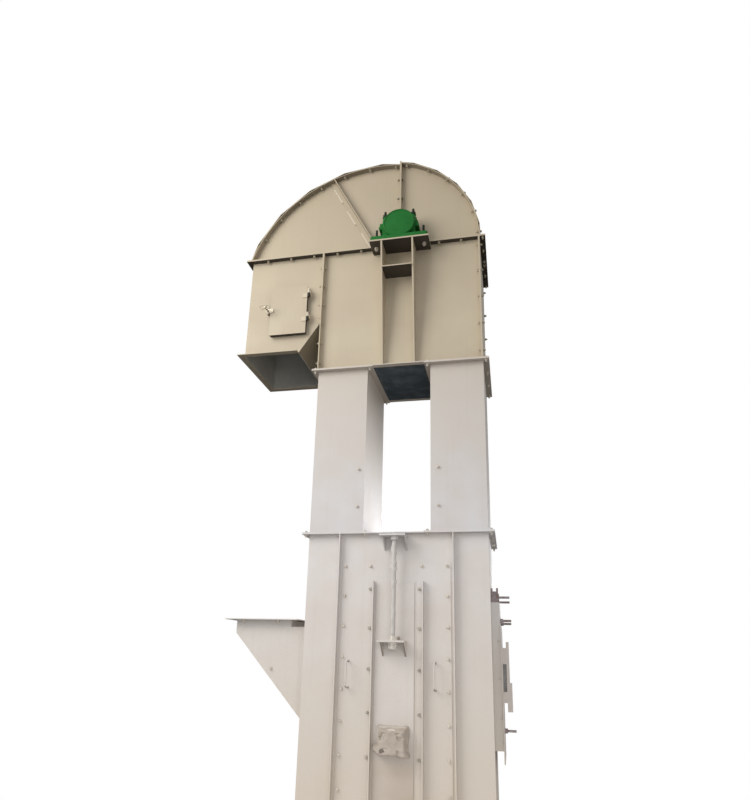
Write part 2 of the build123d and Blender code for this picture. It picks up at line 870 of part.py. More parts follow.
def hood_side(arc):
    """The pieces of one half of the hood: front plate, front rim and cover sheet."""
    centre_x, centre_z, start, end = arc
    radius, first, last = arc_through(centre_x, centre_z, start, end)
    centre = (centre_x, centre_z)
    middle = polar(centre, radius, (first + last) / 2)
    edge = ThreePointArc(start, middle, end)
    outline = make_face([edge, Line(end, (0, head_top)), Line((0, head_top), start)])
    seal = Pos(0, shaft_level) * Circle(shaft_radius + shaft_seal_gap)
    plate = Pos(0, -inner_half_depth, 0) * extrude(Plane.XZ * (outline - seal), sheet)

    inner_radius = radius - hood_rim_thick
    inner_arc = ThreePointArc(
        polar(centre, inner_radius, last),
        polar(centre, inner_radius, (first + last) / 2),
        polar(centre, inner_radius, first),
    )
    band = make_face([edge, Line(end, inner_arc @ 0), inner_arc, Line(inner_arc @ 1, start)])
    rim = Pos(0, -half_depth, 0) * extrude(Plane.XZ * band, flange_width)
    side = 1 if start[0] > 0 else -1
    near, far = side * flange_thick, side * 3 * casing_width
    above_flange = (head_top + flange_thick, 2 * head_top)
    keep = slab((min(near, far), max(near, far)), (-casing_depth, casing_depth), above_flange)

    step = (last - first) / hood_folds
    lift = (radius + seam) / cos(radians(step / 2))
    top = (radius + seam + hood_cover_sheet) / cos(radians(step / 2))
    inner_line = [polar(centre, radius + seam, first)]
    outer_line = [polar(centre, radius + seam + hood_cover_sheet, first)]
    for fold in range(hood_folds):
        angle = first + step * (fold + 0.5)
        inner_line.append(polar(centre, lift, angle))
        outer_line.append(polar(centre, top, angle))
    inner_line.append(polar(centre, radius + seam, last))
    outer_line.append(polar(centre, radius + seam + hood_cover_sheet, last))
    strip = make_face(Polyline(*inner_line, *reversed(outer_line), close=True))
    cover = Pos(0, flange_half_depth, 0) * extrude(Plane.XZ * strip, 2 * flange_half_depth)
    return plate, rim & keep, cover & keep


left_plate, left_rim, left_cover = hood_side(left_arc())
right_plate, right_rim, right_cover = hood_side(right_arc())
save("hood_plates", *both_faces(left_plate, right_plate))
save("hood_rims", *both_faces(left_rim, right_rim))
save("hood_covers", left_cover, right_cover)

# Bolted joint between the hood halves, from the bearing to above the cover
joint_top = hood_right_peak + joint_flange_rise
joint_foot = shaft_level + bearing_cover_radius
save(
    "hood_joint_flanges",
    *both_faces(
        slab((-flange_thick, -seam / 2), flange_reach, (joint_foot, joint_top)),
        slab((seam / 2, flange_thick), flange_reach, (joint_foot, joint_top)),
    ),
)


def hood_rib():
    """The diagonal angle from the bearing shelf to the left rim, with its flat leg on the hood's plate."""
    centre_x, centre_z, start, end = left_arc()
    radius = arc_through(centre_x, centre_z, start, end)[0]
    foot = (-shelf_width / 2 - hood_rib_shelf_gap, head_top + flange_thick)
    tip_z = centre_z + sqrt(radius**2 - (hood_rib_tip_x - centre_x) ** 2)
    tilt = degrees(atan2(hood_rib_tip_x - foot[0], tip_z - foot[1]))
    along = (-radius, radius)
    standing = slab((-flange_thick, 0), flange_reach, along)
    flat = slab((-hood_rib_leg, 0), (-half_depth - hood_rib_thick, -half_depth), along)
    angle = Pos(foot[0], 0, foot[1]) * Rot(0, tilt, 0) * (standing + flat)
    inside = Pos(centre_x, 0, centre_z) * Rot(90, 0, 0) * Cylinder(
        radius - hood_rim_thick - seam, 2 * flange_half_depth
    )
    above_foot = slab((box_left_x, 0), (-flange_half_depth, 0), (foot[1], tip_z + radius))
    return angle & inside & above_foot


save("hood_ribs", *both_faces(hood_rib()))


# Discharge box: front plate split round the door opening, back plate, outer wall, chute and lip
def discharge_plates():
    slope = (chute_top - mouth_level) / (-half_width - mouth_inner_x)
    left = door_left_x + door_opening_margin
    right = door_right_x - door_opening_margin
    low = door_bottom + door_opening_margin
    high = door_top - door_opening_margin
    wall_x = -half_width - seam
    right_foot = mouth_level + slope * (right + seam - mouth_inner_x)
    front = [
        slab((box_left_x, left - seam), front_sheet, (mouth_level, head_top)),
        plate_xz(
            [(right + seam, right_foot), (wall_x, chute_top), (wall_x, head_top), (right + seam, head_top)],
            front_sheet,
        ),
        plate_xz(
            [
                (left, mouth_level), (mouth_inner_x, mouth_level), (right, right_foot - slope * seam),
                (right, low), (left, low),
            ],
            front_sheet,
        ),
        slab((left, right), front_sheet, (high, head_top)),
    ]
    back = plate_xz(
        [
            (box_left_x, mouth_level), (mouth_inner_x, mouth_level), (wall_x, chute_top), (wall_x, head_top),
            (box_left_x, head_top),
        ],
        (inner_half_depth, half_depth),
    )
    drop = sheet * sqrt(1 + slope**2)
    chute = plate_xz(
        [
            (mouth_inner_x, mouth_level), (wall_x, chute_top), (wall_x, chute_top + drop),
            (mouth_inner_x - sheet, mouth_level),
        ],
        side_span,
    )
    outer = slab((box_left_x, box_left_x + sheet), side_span, (mouth_level, head_top))
    return [*front, back, chute, outer]


save("discharge_box", *discharge_plates())
# The lip under the mouth runs along its front, back and left; the chute's foot has none
lip_z = (mouth_level - flange_thick, mouth_level)
lip_front = slab(
    (box_left_x - spout_lip_width, mouth_inner_x), (-half_depth - spout_lip_width, -half_depth), lip_z
)
lip_left = slab((box_left_x - spout_lip_width, box_left_x), (seam - half_depth, half_depth - seam), lip_z)
save("spout_flange", lip_front, lip_left, mirror(lip_front, Plane.XZ))


# Head inspection door: collar on the casing, hinged cover and hand screw
def door_collar():
    y = (-half_depth - door_collar_proud, -half_depth)
    left = door_left_x + door_opening_margin
    right = door_right_x - door_opening_margin
    low = door_bottom + door_opening_margin
    high = door_top - door_opening_margin
    t = door_collar_thick
    return [
        slab((left - t, left), y, (low - t, high + t)),
        slab((right, right + t), y, (low - t, high + t)),
        slab((left + seam, right - seam), y, (low - t, low)),
        slab((left + seam, right - seam), y, (high, high + t)),
    ]


door_back = -half_depth - door_collar_proud - door_gap
door_front = door_back - door_sheet
pin_y = door_front - door_sheet
save("door_collar", *door_collar())
save("door_panel", slab((door_left_x, door_right_x), (door_front, door_back), (door_bottom, door_top)))


def hinge_rod(radius, low, high):
    """A round piece on the hinge's axis between two levels."""
    return Pos(hinge_pin_x, pin_y, (low + high) / 2) * Cylinder(radius, high - low)


def fixed_hinge(level):
    """The upper knuckle on a lug that stands out from the casing."""
    low, high = level + hinge_half_gap, level + hinge_height / 2
    half_lug = hinge_lug_thick / 2
    lug = slab((hinge_pin_x - half_lug, hinge_pin_x + half_lug), (pin_y, -half_depth), (low, high))
    barrel = hinge_rod(hinge_radius, low, high)
    return barrel + lug - hinge_rod(hinge_radius / 2 + hinge_bore_gap, low, high)


def door_hinge(level):
    """The lower knuckle with its strap on the door, and the pin that it carries."""
    low, high = level - hinge_height / 2, level - hinge_half_gap
    strap = slab((door_right_x - hinge_strap_reach, hinge_pin_x), (pin_y, door_front), (low, high))
    pin = hinge_rod(hinge_radius / 2, low, level + hinge_height / 2)
    return hinge_rod(hinge_radius, low, high) + strap + pin


save("door_hinges", *[door_hinge(level) for level in hinge_levels])


def latch_rod(radius, back_y, front_y):
    """A round piece on the hand screw's axis between two values of Y."""
    middle_y = (back_y + front_y) / 2
    return Pos(latch_x, middle_y, latch_level) * Rot(90, 0, 0) * Cylinder(radius, back_y - front_y)


def latch_block():
    """The block on the casing that the hand screw's point stands in."""
    half = latch_block_side / 2
    face_y = -half_depth - latch_block_proud
    x = (latch_x - half, latch_x + half)
    block = slab(x, (face_y, -half_depth), (latch_level - half, latch_level + half))
    return block - latch_rod(latch_screw_radius + latch_screw_gap, -half_depth - seam, face_y)


def door_latch():
    """A hand screw held in a tab of the door, with a ring on either side of its hub to turn it by."""
    half = latch_tab_height / 2
    tab = slab(
        (latch_x - half, door_left_x + latch_tab_lap), (door_front - door_sheet, door_front),
        (latch_level - half, latch_level + half),
    )
    screw_front = -half_depth - latch_reach
    ring_y = screw_front + latch_hub_length / 2
    latch = tab + latch_rod(latch_screw_radius, -half_depth - latch_point_gap, screw_front)
    latch += latch_rod(latch_hub_radius, screw_front + latch_hub_length, screw_front)
    annulus = extrude(Circle(latch_ring_radius) - Circle(latch_ring_hole), latch_ring_thick / 2, both=True)
    spread = latch_hub_radius + latch_ring_hole
    for side in (-1, 1):
        latch += Pos(latch_x + side * spread, ring_y, latch_level) * Rot(90, 0, 0) * annulus
    return latch


save("door_mountings", *[fixed_hinge(level) for level in hinge_levels], latch_block())
save("door_latch", door_latch())
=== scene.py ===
"""Twin-leg bucket elevator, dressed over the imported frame. Metres, +Z is up, -Y is the front.

The sections follow the machine as it is put together, from the boot up to the hood.
"""
import math

import bmesh
import bpy
from mathutils import Matrix, Vector


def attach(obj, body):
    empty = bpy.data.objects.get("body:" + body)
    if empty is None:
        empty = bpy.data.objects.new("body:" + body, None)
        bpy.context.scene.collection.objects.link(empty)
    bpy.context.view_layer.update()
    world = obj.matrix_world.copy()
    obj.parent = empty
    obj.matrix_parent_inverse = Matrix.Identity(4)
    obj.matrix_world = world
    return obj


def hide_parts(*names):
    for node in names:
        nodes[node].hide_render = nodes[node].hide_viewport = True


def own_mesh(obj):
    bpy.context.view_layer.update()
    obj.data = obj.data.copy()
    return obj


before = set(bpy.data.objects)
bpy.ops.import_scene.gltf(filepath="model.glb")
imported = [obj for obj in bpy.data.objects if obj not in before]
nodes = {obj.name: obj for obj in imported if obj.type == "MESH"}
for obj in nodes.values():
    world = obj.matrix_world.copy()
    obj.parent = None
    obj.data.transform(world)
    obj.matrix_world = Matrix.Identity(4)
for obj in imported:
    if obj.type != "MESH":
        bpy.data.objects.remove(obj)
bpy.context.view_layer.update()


# Boot casing: rolled steel plate, welded and sprayed with greige polyurethane enamel.
# It shows soft clouds, a few dust runs and an orange-peel skin. The faces that look down
# are darkened in the colour, as painted shade.
def linear(code):
    """A colour socket's value from an sRGB hex code."""
    parts = [int(code[place : place + 2], 16) / 255 for place in (1, 3, 5)]
    return (*[c / 12.92 if c <= 0.04045 else ((c + 0.055) / 1.055) ** 2.4 for c in parts], 1.0)


def add_node(material, kind, inputs=None, **settings):
    """Adds a shader node, then fills its sockets with numbers or links them."""
    node = material.node_tree.nodes.new(kind)
    for name, value in settings.items():
        setattr(node, name, value)
    for name, value in (inputs or {}).items():
        if isinstance(value, bpy.types.NodeSocket):
            material.node_tree.links.new(value, node.inputs[name])
        else:
            node.inputs[name].default_value = value
    return node


def sprayed_enamel(name, low, high, levels, cloud, grime_and_shade, runs=0.03, under=0.8):
    """Enamel whose colour drifts from low to high between two levels above the ground."""
    paint = bpy.data.materials.new(name)
    paint.use_nodes = True
    shader = paint.node_tree.nodes["Principled BSDF"]
    place = add_node(paint, "ShaderNodeTexCoord").outputs["Object"]
    axes = add_node(paint, "ShaderNodeSeparateXYZ", {0: place})
    # the drift with height is partly painted light: it copies how bright and warm the machine looks
    # at each height
    rise = add_node(
        paint,
        "ShaderNodeMapRange",
        {"Value": axes.outputs["Z"], "From Min": levels[0], "From Max": levels[1]},
    ).outputs["Result"]
    coat = add_node(
        paint, "ShaderNodeMix", {0: rise, 6: linear(low), 7: linear(high)}, data_type="RGBA"
    ).outputs[2]
    # clouds of 350 mm, from uneven passes of the gun
    clouds = add_node(
        paint, "ShaderNodeTexNoise", {"Vector": place, "Scale": 2.9, "Detail": 3.0}
    ).outputs["Fac"]
    patch = add_node(
        paint,
        "ShaderNodeMapRange",
        {"Value": clouds, "From Min": 0.38, "From Max": 0.64, "To Max": 0.5},
    ).outputs["Result"]
    coat = add_node(
        paint, "ShaderNodeMix", {0: patch, 6: coat, 7: linear(cloud)}, data_type="RGBA"
    ).outputs[2]
    # dust runs 30 mm wide and about a metre long
    stretched = add_node(
        paint, "ShaderNodeMapping", {"Vector": place, "Scale": (30.0, 30.0, 0.8)}
    ).outputs["Vector"]
    streaks = add_node(
        paint, "ShaderNodeTexNoise", {"Vector": stretched, "Scale": 1.0, "Detail": 2.0}
    ).outputs["Fac"]
    # grit of 4 mm
    grit = add_node(
        paint, "ShaderNodeTexNoise", {"Vector": place, "Scale": 170.0, "Detail": 1.0}
    ).outputs["Fac"]
    # painted shade: faces that look down are darkened towards the grime colour, as shade under
    # flanges and brackets
    facing = add_node(
        paint,
        "ShaderNodeSeparateXYZ",
        {0: add_node(paint, "ShaderNodeNewGeometry").outputs["Normal"]},
    ).outputs["Z"]
    for value, start, end, share in (
        (streaks, 0.56, 0.76, runs),
        (grit, 0.69, 0.77, 0.3),
        (facing, -0.2, -0.8, under),
    ):
        amount = add_node(
            paint,
            "ShaderNodeMapRange",
            {"Value": value, "From Min": start, "From Max": end, "To Max": share},
        ).outputs["Result"]
        coat = add_node(
            paint, "ShaderNodeMix", {0: amount, 6: coat, 7: linear(grime_and_shade)}, data_type="RGBA"
        ).outputs[2]
    paint.node_tree.links.new(coat, shader.inputs["Base Color"])
    dull = add_node(
        paint, "ShaderNodeMapRange", {"Value": clouds, "To Min": 0.46, "To Max": 0.7}
    ).outputs["Result"]
    paint.node_tree.links.new(dull, shader.inputs["Roughness"])
    shader.inputs["Specular IOR Level"].default_value = 0.35
    # orange peel, drawn at 8 mm so that it shows, over the slow waves of thin plate
    peel = add_node(
        paint, "ShaderNodeTexNoise", {"Vector": place, "Scale": 120.0, "Detail": 2.0}
    ).outputs["Fac"]
    skin = add_node(
        paint, "ShaderNodeBump", {"Height": peel, "Strength": 0.1, "Distance": 0.001}
    ).outputs["Normal"]
    waves = add_node(
        paint, "ShaderNodeTexNoise", {"Vector": place, "Scale": 1.7, "Detail": 1.0}
    ).outputs["Fac"]
    plate = add_node(
        paint,
        "ShaderNodeBump",
        {"Height": waves, "Strength": 0.3, "Distance": 0.02, "Normal": skin},
    ).outputs["Normal"]
    paint.node_tree.links.new(plate, shader.inputs["Normal"])
    return paint


def finish_nodes(material, *names):
    """Gives CAD nodes their finish."""
    for name in names:
        nodes[name].data.materials.clear()
        nodes[name].data.materials.append(material)


casing_enamel = sprayed_enamel(
    "greige_polyurethane_enamel", "#CDC2B2", "#D8D4D2", (0.4, 2.3), "#D0C6BD", "#564C42"
)
finish_nodes(casing_enamel, "boot_face_walls", "boot_side_walls", "boot_floor", "boot_ribs")
finish_nodes(casing_enamel, "base_flange", "access_covers", "slide_guides")


# Stitch welds along the boot's stiffeners: 60 mm runs of weld metal with their ripples,
# 8 mm wide and painted over with the plate.
def pick_faces(piece, test):
    """In edit mode, selects only the faces whose middle and normal pass a test."""
    bpy.ops.mesh.select_mode(type="FACE")
    bpy.ops.mesh.select_all(action="DESELECT")
    mesh = bmesh.from_edit_mesh(piece.data)
    for face in mesh.faces:
        face.select_set(bool(test(face.calc_center_median(), face.normal)))
    bmesh.update_edit_mesh(piece.data)


def pick_edges(piece, test):
    """In edit mode, selects only the edges whose middle and direction pass a test."""
    bpy.ops.mesh.select_mode(type="EDGE")
    bpy.ops.mesh.select_all(action="DESELECT")
    mesh = bmesh.from_edit_mesh(piece.data)
    for edge in mesh.edges:
        low, high = edge.verts[0].co, edge.verts[1].co
        edge.select_set(bool(test((low + high) / 2, (high - low).normalized())))
    bmesh.update_edit_mesh(piece.data)


def start_solid(kind, **size):
    """Adds a primitive of a real size in its place and opens it for editing."""
    bpy.ops.object.select_all(action="DESELECT")
    getattr(bpy.ops.mesh, f"primitive_{kind}_add")(**size)
    solid = bpy.context.object
    bpy.ops.object.transform_apply(location=True, rotation=True, scale=True)
    bpy.ops.object.mode_set(mode="EDIT")
    return solid


def settle(piece, name):
    """Leaves edit mode, brings the piece's place into its mesh and names it."""
    if piece.mode == "EDIT":
        bpy.ops.object.mode_set(mode="OBJECT")
    bpy.ops.object.select_all(action="DESELECT")
    piece.select_set(True)
    bpy.context.view_layer.objects.active = piece
    bpy.ops.object.transform_apply(location=True, rotation=True, scale=True)
    piece.name = name
    piece.data.name = name
    return piece


def mount(piece, name, finish, body):
    """Settles a piece, gives it its one finish and lets it ride on a body."""
    settle(piece, name)
    piece.data.materials.clear()
    piece.data.materials.append(finish)
    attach(piece, body)


def repeat(pattern, name, sites, body, finish, twirl=0):
    """Copies a pattern to each site (place, out, along), joins the copies and lets them ride."""
    bpy.ops.object.select_all(action="DESELECT")
    for number, (place, out, along) in enumerate(sites):
        copy = pattern.copy()
        copy.data = pattern.data.copy()
        bpy.context.collection.objects.link(copy)
        out = Vector(out).normalized()
        along = Vector(along).normalized()
        aim = Matrix((along, out.cross(along), out)).transposed().to_4x4()
        turn = Matrix.Rotation(math.radians(twirl * number), 4, "Z")
        copy.matrix_world = Matrix.Translation(place) @ aim @ turn
        copy.select_set(True)
    bpy.context.view_layer.objects.active = copy
    bpy.ops.object.join()
    mount(copy, name, finish, body)


def mirrored(sites):
    """The sites with their mirror images on the back of the machine."""
    return sites + [tuple((part[0], -part[1], part[2]) for part in site) for site in sites]


RIGHT, LEFT = (1, 0, 0), (-1, 0, 0)
FRONT, UP, DOWN = (0, -1, 0), (0, 0, 1), (0, 0, -1)
bead = start_solid("cylinder", vertices=8, radius=0.004, depth=0.06, rotation=(0, math.pi / 2, 0))
pick_edges(bead, lambda middle, way: abs(way.x) > 0.9)
bpy.ops.mesh.subdivide(number_cuts=12)
for ring in range(1, 13, 2):
    at = -0.03 + 0.06 * ring / 13
    pick_edges(bead, lambda middle, way: abs(middle.x - at) < 0.0015 and abs(way.x) < 0.1)
    bpy.ops.transform.resize(value=(1, 0.82, 0.82), center_override=(at, 0, 0))
settle(bead, "stitch_weld")
weld_y = -0.3655
boot_stitches = []
for x in (-0.4585, -0.4495, 0.4495, 0.4585):
    for step in range(10):
        boot_stitches.append(((x, weld_y, 0.16 + 0.25 * step), FRONT, UP))
repeat(bead, "boot_rib_welds", mirrored(boot_stitches), "casing", casing_enamel)


# Cover bolts: M12 hexagon heads on washers, zinc plated and partly painted over, so they
# look a little paler and shinier than the plate around them.
def two_tone(name, low, high, scale, detail, start=0.0, end=1.0):
    """A material that drifts from one colour to another with clouds of noise.

    Gives the material, its shader, its coordinates, the clouds and the second colour's share.
    """
    material = bpy.data.materials.new(name)
    material.use_nodes = True
    shader = material.node_tree.nodes["Principled BSDF"]
    place = add_node(material, "ShaderNodeTexCoord").outputs["Object"]
    clouds = add_node(
        material, "ShaderNodeTexNoise", {"Vector": place, "Scale": scale, "Detail": detail}
    ).outputs["Fac"]
    share = add_node(
        material, "ShaderNodeMapRange", {"Value": clouds, "From Min": start, "From Max": end}
    ).outputs["Result"]
    colour = add_node(
        material, "ShaderNodeMix", {0: share, 6: linear(low), 7: linear(high)}, data_type="RGBA"
    ).outputs[2]
    material.node_tree.links.new(colour, shader.inputs["Base Color"])
    return material, shader, place, clouds, share


def thin_zinc(name, paint, bare):
    """Zinc plate that shows through thin enamel, in spots of about 10 mm."""
    zinc, shader, _, _, worn = two_tone(name, paint, bare, 95.0, 3.0, 0.46, 0.6)
    metal = add_node(zinc, "ShaderNodeMath", {0: worn, 1: 0.5}, operation="MULTIPLY").outputs[0]
    zinc.node_tree.links.new(metal, shader.inputs["Metallic"])
    shader.inputs["Roughness"].default_value = 0.4
    return zinc


def hex_bolt(flats, stud=0.0):
    """A hexagon head or nut on its washer at the origin, pointing up, with a stud end if asked."""
    washer, head = 0.13 * flats, 0.62 * flats
    top = washer + head
    bolt = start_solid(
        "cylinder", vertices=20, radius=0.66 * flats, depth=washer, location=(0, 0, washer / 2)
    )
    pick_faces(bolt, lambda middle, way: way.z > 0.9)
    bpy.ops.mesh.inset(thickness=0.04 * flats, depth=0.03 * flats)
    bpy.ops.mesh.primitive_cylinder_add(
        vertices=6, radius=flats / math.sqrt(3), depth=head, location=(0, 0, washer + head / 2)
    )
    pick_faces(bolt, lambda middle, way: way.z > 0.9 and middle.z > top - 0.0001)
    bpy.ops.mesh.inset(thickness=0.11 * flats, depth=0.06 * flats)
    if stud:
        bpy.ops.mesh.primitive_cylinder_add(
            vertices=12, radius=0.3 * flats, depth=top + stud, location=(0, 0, (top + stud) / 2)
        )
        pick_faces(bolt, lambda middle, way: way.z > 0.9 and middle.z > top + stud - 0.0001)
        bpy.ops.mesh.inset(thickness=0.05 * flats, depth=0.04 * flats)
    return settle(bolt, "hexagon_pattern")


casing_zinc = thin_zinc("zinc_under_greige_enamel", "#D8CFC2", "#B4ADA3")
head_12 = hex_bolt(0.019)
nut_12 = hex_bolt(0.019, stud=0.009)
cover_y, cover_bolt_top, cover_pitch = -0.370, 2.270, 0.230
cover_bolts = []
for x in (-0.405, -0.200, 0.205, 0.405):
    cover_bolts.append(((x, cover_y, cover_bolt_top), FRONT, RIGHT))
for step in range(1, 10):
    for x in (-0.405, 0.405):
        cover_bolts.append(((x, cover_y, cover_bolt_top - cover_pitch * step), FRONT, RIGHT))
repeat(head_12, "access_cover_bolts", mirrored(cover_bolts), "casing", casing_zinc, twirl=37)

# The middle fastener of the top row is a flush screw, so that the slide can pass over it.
for side in (-1, 1):
    screw = start_solid(
        "cylinder",
        vertices=24,
        radius=0.0095,
        depth=0.0006,
        location=(0.005, -side * cover_y, cover_bolt_top),
        rotation=(math.pi / 2, 0, 0),
    )
    mount(screw, "back_flush_screw" if side > 0 else "front_flush_screw", casing_zinc, "casing")

# Guide bolts: M12, through the flat leg of each slide guide at a pitch of 300 mm.
guide_y = -0.378
guide_bolts = []
for x in (-0.198, 0.189):
    for z in (2.091, 1.795, 1.495, 1.188, 0.885, 0.585, 0.285):
        guide_bolts.append(((x, guide_y, z), FRONT, RIGHT))
worn_zinc = thin_zinc("worn_zinc_under_enamel", "#B9B1A6", "#9C958B")
repeat(head_12, "guide_bolts", mirrored(guide_bolts), "casing", worn_zinc, twirl=41)


# Legs: four sheets each, folded at the edges and welded, in a paler tone of the enamel.
# A flange at each end is bolted to the boot or to the head.
# the legs' pale tone, darker towards the head, is partly painted light
leg_enamel = sprayed_enamel(
    "pale_greige_polyurethane_enamel",
    "#D3D1D2",
    "#C6BDB0",
    (2.6, 4.1),
    "#CCC2BA",
    "#655B52",
    under=0.35,
)
finish_nodes(leg_enamel, "casing_flanges", "casing_legs", "leg_flanges")

# Leg bolts: M12 heads that close the lifting holes in the front and back of each leg.
wall_y = -0.365
leg_bolts = []
for x, z in ((-0.327, 3.080), (-0.330, 2.761), (0.336, 3.074), (0.339, 2.755)):
    leg_bolts.append(((x, wall_y, z), FRONT, RIGHT))
repeat(head_12, "leg_plug_bolts", mirrored(leg_bolts), "casing", casing_zinc, twirl=23)

# Leg flange bolts: one M12 in each corner of a leg's flange, and two on each side, with
# heads above and nuts below the two bolted joints.
flange_line = -0.390
leg_joints = ((2.543, 2.527), (4.013, 3.997))
corners = [(x, y) for x in (-0.748, -0.252, 0.252, 0.748) for y in (flange_line, -flange_line)]
corners += [(x, y) for x in (-0.750, 0.750) for y in (-0.13, 0.13)]
corner_heads = [((x, y, top), UP, RIGHT) for x, y in corners for top, foot in leg_joints]
corner_nuts = [((x, y, foot), DOWN, RIGHT) for x, y in corners for top, foot in leg_joints]
repeat(head_12, "leg_flange_bolts", corner_heads, "casing", casing_zinc, twirl=29)
repeat(nut_12, "leg_flange_nuts", corner_nuts, "casing", casing_zinc, twirl=31)


# Plates that close the gap between the legs: hot-rolled steel left in its mill scale,
# blue-black and a little paler where it has rubbed.
def mill_scale(name, scale_colour, rubbed_colour):
    """Unpainted plate or casting with scale in patches of about 110 mm."""
    plate, shader, _, patches, _ = two_tone(name, scale_colour, rubbed_colour, 9.0, 5.0, 0.45, 0.68)
    shader.inputs["Metallic"].default_value = 0.3
    rough = add_node(
        plate, "ShaderNodeMapRange", {"Value": patches, "To Min": 0.65, "To Max": 0.42}
    ).outputs["Result"]
    plate.node_tree.links.new(rough, shader.inputs["Roughness"])
    return plate


finish_nodes(mill_scale("blue_black_mill_scale", "#3D484F", "#586269"), "leg_gap_plates")

# Inlet hopper: folded and welded plate with a drilled flange, in the casing's enamel.
# Plug bolts hang under the flange, and the wall flange is bolted to the boot.
finish_nodes(casing_enamel, "inlet_hopper", "inlet_flange")
hopper_nuts = [((x, -0.288, 1.850), DOWN, RIGHT) for x in (-1.276, -0.977)]
long_nut = hex_bolt(0.019, stud=0.021)
repeat(long_nut, "inlet_flange_nuts", mirrored(hopper_nuts), "casing", casing_zinc, twirl=17)
wall_bolts = [((-0.733, -0.270, z), LEFT, UP) for z in (1.747, 1.481, 1.216)]
wall_bolts.append(((-1.026, -0.250, 1.474), FRONT, RIGHT))
repeat(head_12, "inlet_wall_bolts", mirrored(wall_bolts), "casing", casing_zinc, twirl=19)

# Cover handles: 12 mm round bar, bent and welded on, with a fillet round each foot.
finish_nodes(casing_enamel, "cover_handles")
collar = start_solid(
    "cone", vertices=20, radius1=0.012, radius2=0.0066, depth=0.008, location=(0, 0, 0.004)
)
settle(collar, "fillet_collar")
handle_feet = []
for x in (-0.357, 0.309):
    for z in (1.363, 1.553):
        handle_feet.append(((x, cover_y, z), FRONT, RIGHT))
repeat(collar, "cover_handle_welds", mirrored(handle_feet), "casing", casing_enamel)


# Inspection hatch on the right wall: a welded box frame and its bolted cover, in enamel,
# with small screws that hold the gasket strip inside the frame.
finish_nodes(casing_enamel, "hatch_frame", "hatch_cover")
screw_8 = hex_bolt(0.011)
gasket_screws = []
for x, z in ((0.771, 1.72), (0.773, 1.45), (0.776, 1.18)):
    gasket_screws.append(((x, -0.240, z), FRONT, RIGHT))
repeat(screw_8, "hatch_gasket_screws", mirrored(gasket_screws), "casing", casing_zinc, twirl=21)


# Hatch fittings: the lugs and studs are bare mild steel that has gone dull red-brown, and
# the grip in the middle was sprayed with the casing.
def rusty_steel(name, steel_colour, rust_colour, sprayed=None):
    """Steel with a rust bloom of 24 mm, or enamel within 60 mm of the middle plane."""
    steel, shader, place, bloom, amount = two_tone(
        name, steel_colour, rust_colour, 42.0, 6.0, 0.38, 0.62
    )
    if sprayed:
        rusted = shader.inputs["Base Color"].links[0].from_socket
        side = add_node(steel, "ShaderNodeSeparateXYZ", {0: place}).outputs["Y"]
        off_middle = add_node(steel, "ShaderNodeMath", {0: side}, operation="ABSOLUTE").outputs[0]
        bare = add_node(
            steel, "ShaderNodeMath", {0: off_middle, 1: 0.06}, operation="GREATER_THAN"
        ).outputs[0]
        colour = add_node(
            steel, "ShaderNodeMix", {0: bare, 6: linear(sprayed), 7: rusted}, data_type="RGBA"
        ).outputs[2]
        steel.node_tree.links.new(colour, shader.inputs["Base Color"])
    rough = add_node(
        steel, "ShaderNodeMapRange", {"Value": amount, "To Min": 0.45, "To Max": 0.85}
    ).outputs["Result"]
    steel.node_tree.links.new(rough, shader.inputs["Roughness"])
    pits = add_node(
        steel, "ShaderNodeBump", {"Height": bloom, "Strength": 0.35, "Distance": 0.001}
    ).outputs["Normal"]
    steel.node_tree.links.new(pits, shader.inputs["Normal"])
    return steel


fitting_steel = rusty_steel("dull_rusted_mild_steel", "#9A9094", "#84706A", sprayed="#D5CDC6")
finish_nodes(fitting_steel, "hatch_fittings")
nut_18 = hex_bolt(0.030)
stud_nuts = [((0.787, side * 0.220, 1.870), RIGHT, UP) for side in (-1, 1)]
stud_nuts.append(((0.795, -0.220, 1.093), RIGHT, UP))
repeat(nut_18, "hatch_stud_nuts", stud_nuts, "casing", fitting_steel, twirl=11)
guard = start_solid("cube", size=1, location=(0.809, 0, 1.4525), scale=(0.027, 0.006, 0.203))
pick_edges(guard, lambda middle, way: abs(way.z) > 0.9)
bpy.ops.mesh.bevel(offset=0.0015, segments=2)
guard_steel = mill_scale("dark_guard_sheet", "#8C8B8A", "#A09F9E")
mount(guard, "hatch_grip_guard", guard_steel, "casing")
frame_stitches = []
for step in range(5):
    frame_stitches.append(((0.7275, -0.2415, 1.05 + 0.2 * step), (0.3, -0.9, 0), UP))
repeat(bead, "hatch_frame_welds", mirrored(frame_stitches), "casing", casing_enamel)


# Take-up: slide plates, brackets and screws ride up and down on the boot, and are painted
# with it. The screw's thread has a 4 mm pitch, and its colour drifts over 33 mm.
finish_nodes(casing_enamel, "take_up_brackets")
finish_nodes(leg_enamel, "take_up_top_brackets")
# the slide plates darken below the bearing wraps: worn older paint, and painted shadow of the wraps
plate_enamel = sprayed_enamel(
    "worn_and_shadowed_enamel_on_slide", "#B8AA9B", "#D7D1CC", (0.78, 1.05), "#CDC4BB", "#564C42"
)
finish_nodes(plate_enamel, "slide_plates")
screw_paint, screw_shader, screw_place, *_ = two_tone(
    "enamel_on_screw_thread", "#C9C1B8", "#DBD6D0", 30.0, 3.0
)
turns = add_node(
    screw_paint,
    "ShaderNodeTexWave",
    {"Vector": screw_place, "Scale": 78.5, "Distortion": 0.0},
    bands_direction="Z",
).outputs["Fac"]
thread = add_node(
    screw_paint, "ShaderNodeBump", {"Height": turns, "Strength": 0.7, "Distance": 0.002}
).outputs["Normal"]
screw_paint.node_tree.links.new(thread, screw_shader.inputs["Normal"])
screw_shader.inputs["Roughness"].default_value = 0.5
finish_nodes(screw_paint, "take_up_screws")
